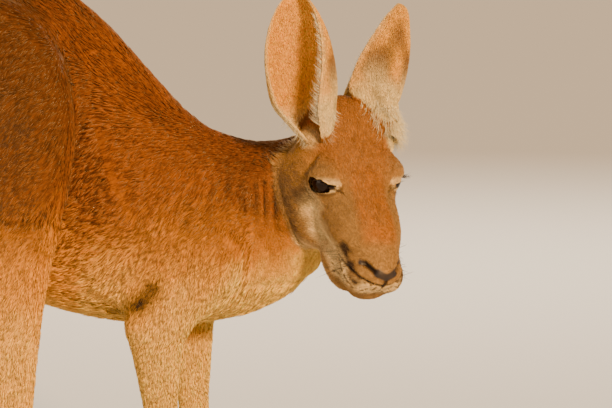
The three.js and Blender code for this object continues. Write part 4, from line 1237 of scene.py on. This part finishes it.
def lie_of(places, normals):
    """The unit way in which hair lies at world places, along the surface."""
    body, head = to_body(places), to_head(places)
    on_head = ((1 - blend_in(4, 20, head_form(head))) * blend_in(-110, -80, head[:, 0]))[:, None]
    way = averaged(body, BODY_LIE, 30)
    way = way + (averaged(head, HEAD_LIE, 8) @ HEAD_R.T - way) * on_head
    which, _, v, _ = ears_of(places)
    for s in (-1, 1):
        mine = which == s
        _, ahead, _, side = ear_frame(s)
        way[mine] = ahead + side * v[mine][:, None] * 0.25
    return unit(way - (way * normals).sum(1)[:, None] * normals)


# %% [markdown]
# ## The coat
# Each tuft is a thin closed spindle of six triangles: a buried root, a flat ring of three points, and a
# tip that stands a little above the skin, over the roots of the tufts behind it. They are placed at
# random with a fixed seed, closer and shorter on the head, ears and feet than on the trunk. For each
# region the table gives tufts in a square centimetre, length and width in millimetres, and the angle.

# %% Where tufts grow
COAT = {
    "trunk": (14, 17, 1.5, 7), "thigh": (14, 16, 1.5, 7), "neck": (22, 14, 1.3, 8),
    "tail_root": (11, 17, 1.6, 7), "tail_middle": (12, 14, 1.5, 7), "tail_tip": (14, 11, 1.3, 8),
    "upper_arm": (22, 12, 1.2, 8), "forearm": (26, 10, 1.1, 8), "shank": (17, 12, 1.3, 7),
    "foot": (20, 8, 1.1, 7), "hand": (28, 6, 0.9, 8), "head": (62, 4.6, 0.7, 12),
    "ear": (42, 6, 0.75, 7),
}
REGIONS = list(COAT)
REGION_GROUPS = {"trunk": "trunk", "thigh": "thighs", "neck": "neck", "tail_root": "tail",
                 "tail_middle": "tail", "tail_tip": "tail", "upper_arm": "arms", "forearm": "arms",
                 "shank": "legs", "foot": "legs", "hand": "arms", "head": "head", "ear": "ears"}
rng = np.random.default_rng(20)
skin_mesh.calc_loop_triangles()
triangles = np.empty(len(skin_mesh.loop_triangles) * 3, np.int32)
skin_mesh.loop_triangles.foreach_get("vertices", triangles)
triangles = triangles.reshape(-1, 3)
a, b, c = (skin_points[triangles[:, n]] for n in range(3))
areas = np.linalg.norm(np.cross(b - a, c - a), axis=1) / 2
middles = (a + b + c) / 3
number_of = np.array([next(n for n, key in enumerate(REGIONS) if name.startswith(key)) for name in flesh])
region = number_of[zones_of(middles)]
on_ear = ears_of(middles)[0] != 0
region[on_ear] = REGIONS.index("ear")
table = np.array([COAT[key] for key in REGIONS], float)
for number, key in enumerate(REGIONS):
    print(key, "area in square cm:", round(areas[region == number].sum() * 1e4))


def bare(p):
    """True at places of the head's frame that grow no hair: between the lids, nostrils, nose, mouth."""
    right = on_right(on_form(p))
    a, b, o = eye_coordinates(right, -1)
    naked = (lid_gap(a, b) < 0.9) & (o > 2) & (np.hypot(a, b) < 24)
    for line, width in ((NOSTRIL, 3.0), (MOUTH, 1.2), (NOSE_LEATHER, 4.4), (PHILTRUM, 1.6), (TEAR_LINE, 1.3)):
        naked |= from_line(right, line)[0] < width
    return naked


# %% Scatter the roots
LOWEST_ROOT = 0.006               # no hair grows under the soles, metres above the ground
expected = areas * 1e4 * table[region, 0]
counts = np.floor(expected + rng.random(len(expected))).astype(int)
owner = np.repeat(np.arange(len(counts)), counts)
w = rng.random((len(owner), 2))
flip = w.sum(1) > 1
w[flip] = 1 - w[flip]
weights = np.column_stack([1 - w.sum(1), w])
corners = triangles[owner]
roots = (skin_points[corners] * weights[:, :, None]).sum(1)
ups = unit((skin_normals[corners] * weights[:, :, None]).sum(1))
root_region = region[owner]
root_places = to_head(roots)
grows = roots[:, 2] > LOWEST_ROOT
close = head_form(root_places) < 4
grows[close] &= ~bare(root_places[close])
owner, corners, weights, roots, ups, root_region = (
    x[grows] for x in (owner, corners, weights, roots, ups, root_region))
print("tufts:", len(roots))

# %% [markdown]
# ## An unwrap of the skin
# A tuft is too thin for its own place in an image of its piece's colours, so on the map named OFBake
# it takes a small patch at its root's place on an unwrap of the skin, where its neighbours' hair is alike.

# %% Unwrap the skin
bpy.context.view_layer.objects.active = skin
skin.select_set(True)
bpy.ops.object.mode_set(mode="EDIT")
bpy.ops.mesh.select_all(action="SELECT")
skin_mesh.uv_layers.new(name="OFBake")
bpy.ops.uv.smart_project(angle_limit=math.radians(72), island_margin=0.001)
bpy.ops.object.mode_set(mode="OBJECT")
skin_mesh = skin.data
skin_mesh.calc_loop_triangles()
flat = np.empty(len(skin_mesh.loops) * 2, np.float32)
skin_mesh.uv_layers["OFBake"].data.foreach_get("uv", flat)
loops = np.empty(len(skin_mesh.loop_triangles) * 3, np.int32)
skin_mesh.loop_triangles.foreach_get("loops", loops)
root_uv = (flat.reshape(-1, 2)[loops.reshape(-1, 3)[owner]] * weights[:, :, None]).sum(1)
print("unwrap spans", root_uv.min(0).round(3), root_uv.max(0).round(3))

# %% [markdown]
# ## The tufts themselves
# A lock of real hair is widest near its middle and pales towards its tip. A spindle of five points has
# both for very few triangles. It sways a little from its neighbours, as a coat that moves does, and
# its tip is found from the skin under it, so that no tuft sinks in where the body is hollow.

# %% Shape and colour the tufts
chances = rng.random((len(roots), 6))
length = table[root_region, 1] * (0.75 + 0.5 * chances[:, 0]) * MM
width = table[root_region, 2] * (0.8 + 0.4 * chances[:, 1]) * MM
angle = np.radians(table[root_region, 3] * (0.5 + 1.0 * chances[:, 2]))
in_head = to_head(roots)
is_head = root_region == REGIONS.index("head")
short = 0.55 + 0.45 * blend_in(-20, 30, 60 - in_head[:, 0])
a, b, o = eye_coordinates(on_right(in_head), -1)
short *= 0.6 + 0.4 * blend_in(2, 14, lid_gap(a, b))
length[is_head] *= short[is_head]
width[is_head] *= (0.6 + 0.4 * short)[is_head]
ways = lie_of(roots, ups)
across = np.cross(ups, ways)
body_places = to_body(roots)
sway = 0.16 * soft_noise(body_places, 45, 11) + 0.1 * soft_noise(body_places, 14, 12)
sway += rng.normal(0, 0.13, len(roots))
ways = ways * np.cos(sway)[:, None] + across * np.sin(sway)[:, None]
across = np.cross(ups, ways)


def tuft_points(reach, rise, half, thick):
    """Five points of each spindle: root, left and right of the ring, the ring's top, and the tip."""
    ground, over = on_skin(roots + ways * reach[:, None])
    tips = ground + over * rise[:, None]
    middle = roots + (tips - roots) * 0.42 + ups * (0.15 * rise)[:, None]
    return np.stack([roots - ups * (0.25 * thick)[:, None], middle - across * half[:, None],
                     middle + across * half[:, None], middle + ups * thick[:, None], tips], axis=1)


spindles = tuft_points(length * np.cos(angle), length * np.sin(angle), width / 2, width * 0.45)
shades = 1 + 0.1 * (chances[:, 3] - 0.5) * 2
shades *= np.where(chances[:, 4] < 0.05, 0.72, 1)
base = coat_colour(roots, ups) * shades[:, None]
ring_shades = np.array([0.78, 0.96, 0.96, 1.02, 1.14])
colours = base[:, None, :] * ring_shades[None, :, None]
SPINDLE = np.array([(0, 2, 1), (0, 1, 3), (0, 3, 2), (4, 1, 2), (4, 3, 1), (4, 2, 3)])
PATCH = 0.003
PATCH_PLACES = np.array([(0, 0), (0.5, 0.2), (0.5, 0.8), (0.6, 0.5), (1, 0.5)]) * PATCH - PATCH / 2


def coat_piece(name, members):
    """One mesh of the tufts whose numbers are given, with its colours and its bake map."""
    count = len(members)
    mesh = bpy.data.meshes.new(name)
    mesh.vertices.add(count * 5)
    mesh.vertices.foreach_set("co", spindles[members].astype(np.float32).ravel())
    faces = (SPINDLE[None] + np.arange(count)[:, None, None] * 5).astype(np.int32)
    mesh.loops.add(count * 18)
    mesh.loops.foreach_set("vertex_index", faces.ravel())
    mesh.polygons.add(count * 6)
    mesh.polygons.foreach_set("loop_start", np.arange(count * 6, dtype=np.int32) * 3)
    mesh.update(calc_edges=True)
    give_colours(mesh, colours[members].reshape(-1, 3))
    places = root_uv[members][:, None, None, :] + PATCH_PLACES[SPINDLE][None]
    bake = mesh.uv_layers.new(name="OFBake")
    bake.data.foreach_set("uv", np.clip(places, 0, 1).astype(np.float32).ravel())
    mesh.materials.append(tuft_hair)
    mesh.shade_smooth()
    piece = add_object(name, mesh)
    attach(piece, "root")
    return piece


# %% Gather the tufts into pieces
MOST_TUFTS = 33000                # a piece has six triangles a tuft, and stays under 200,000
groups = np.array([REGION_GROUPS[key] for key in REGIONS])[root_region]
pieces = []
for group in sorted(set(REGION_GROUPS.values())):
    members = np.flatnonzero(groups == group)
    members = members[np.argsort(roots[members, 0], kind="stable")]
    for n, part in enumerate(np.array_split(members, math.ceil(len(members) / MOST_TUFTS))):
        pieces.append(coat_piece(f"coat_{group}_{n + 1}", part))
        print(pieces[-1].name, len(part) * 6, "triangles")

# %% [markdown]
# ## Floor, camera and light
# The animal stands on a plain pale floor, so wide that its edge is the horizon. The camera is far off
# with a long lens, which keeps head and rump in proportion. A broad warm key from the animal's right
# front shows the coat's lie, a weak fill opens its shadows, and a rim light parts the back from the
# background. A single lamp would leave the belly black.

# %% Floor and camera
FLOOR_HALF = 60.0
floor_mesh = bpy.data.meshes.new("floor")
floor_mesh.from_pydata([(x * FLOOR_HALF, y * FLOOR_HALF, 0) for x, y in ((-1, -1), (1, -1), (1, 1), (-1, 1))],
                       [], [(0, 1, 2, 3)])
floor = add_object("floor", floor_mesh)
CAMERA_DISTANCE, CAMERA_TILT = 4.5, math.radians(7)
LENS, SENSOR = 240.6, 36.0        # millimetres
AIM_HEIGHT = 0.4103 / math.cos(CAMERA_TILT)     # of the middle of the view, above the ground
target = Vector((body_origin.x, body_origin.y, AIM_HEIGHT))
back = Vector((0, -math.cos(CAMERA_TILT), math.sin(CAMERA_TILT)))


def aimed(name, data, place, way):
    """Adds a camera or light at a place, looking along a way."""
    made = add_object(name, data)
    made.location = place
    made.rotation_euler = Vector(way).to_track_quat("-Z", "Y").to_euler()
    return made


camera_data = bpy.data.cameras.new("camera")
camera_data.lens, camera_data.sensor_width = LENS, SENSOR
bpy.context.scene.camera = aimed("camera", camera_data, target + back * CAMERA_DISTANCE, -back)
print("camera at", [round(x, 3) for x in bpy.context.scene.camera.location])

# %% Lights
sun = bpy.data.lights.new("key", "SUN")
sun.energy, sun.angle, sun.color = 5.9, math.radians(9), linear("#ffcd90")
aimed("key", sun, (0, 0, 0), (-1.7, 3.6, -1.6))
for name, spot, size, power, colour in (("fill", (-2.6, -2.6, 1.4), 2.5, 50, "#ffe9cc"),
                                        ("rim", (1.0, 3.0, 2.2), 1.5, 90, "#fff0d8")):
    lamp = bpy.data.lights.new(name, "AREA")
    lamp.size, lamp.energy, lamp.color = size, power, linear(colour)
    aimed(name, lamp, spot, target - Vector(spot))
world = bpy.data.worlds.new("studio")
bpy.context.scene.world = world
world.use_nodes = True
surround = world.node_tree.nodes["Background"].inputs
surround["Color"].default_value = (*linear("#efe2cf"), 1)
surround["Strength"].default_value = 0.38
print("lit by", [light.name for light in bpy.data.lights])
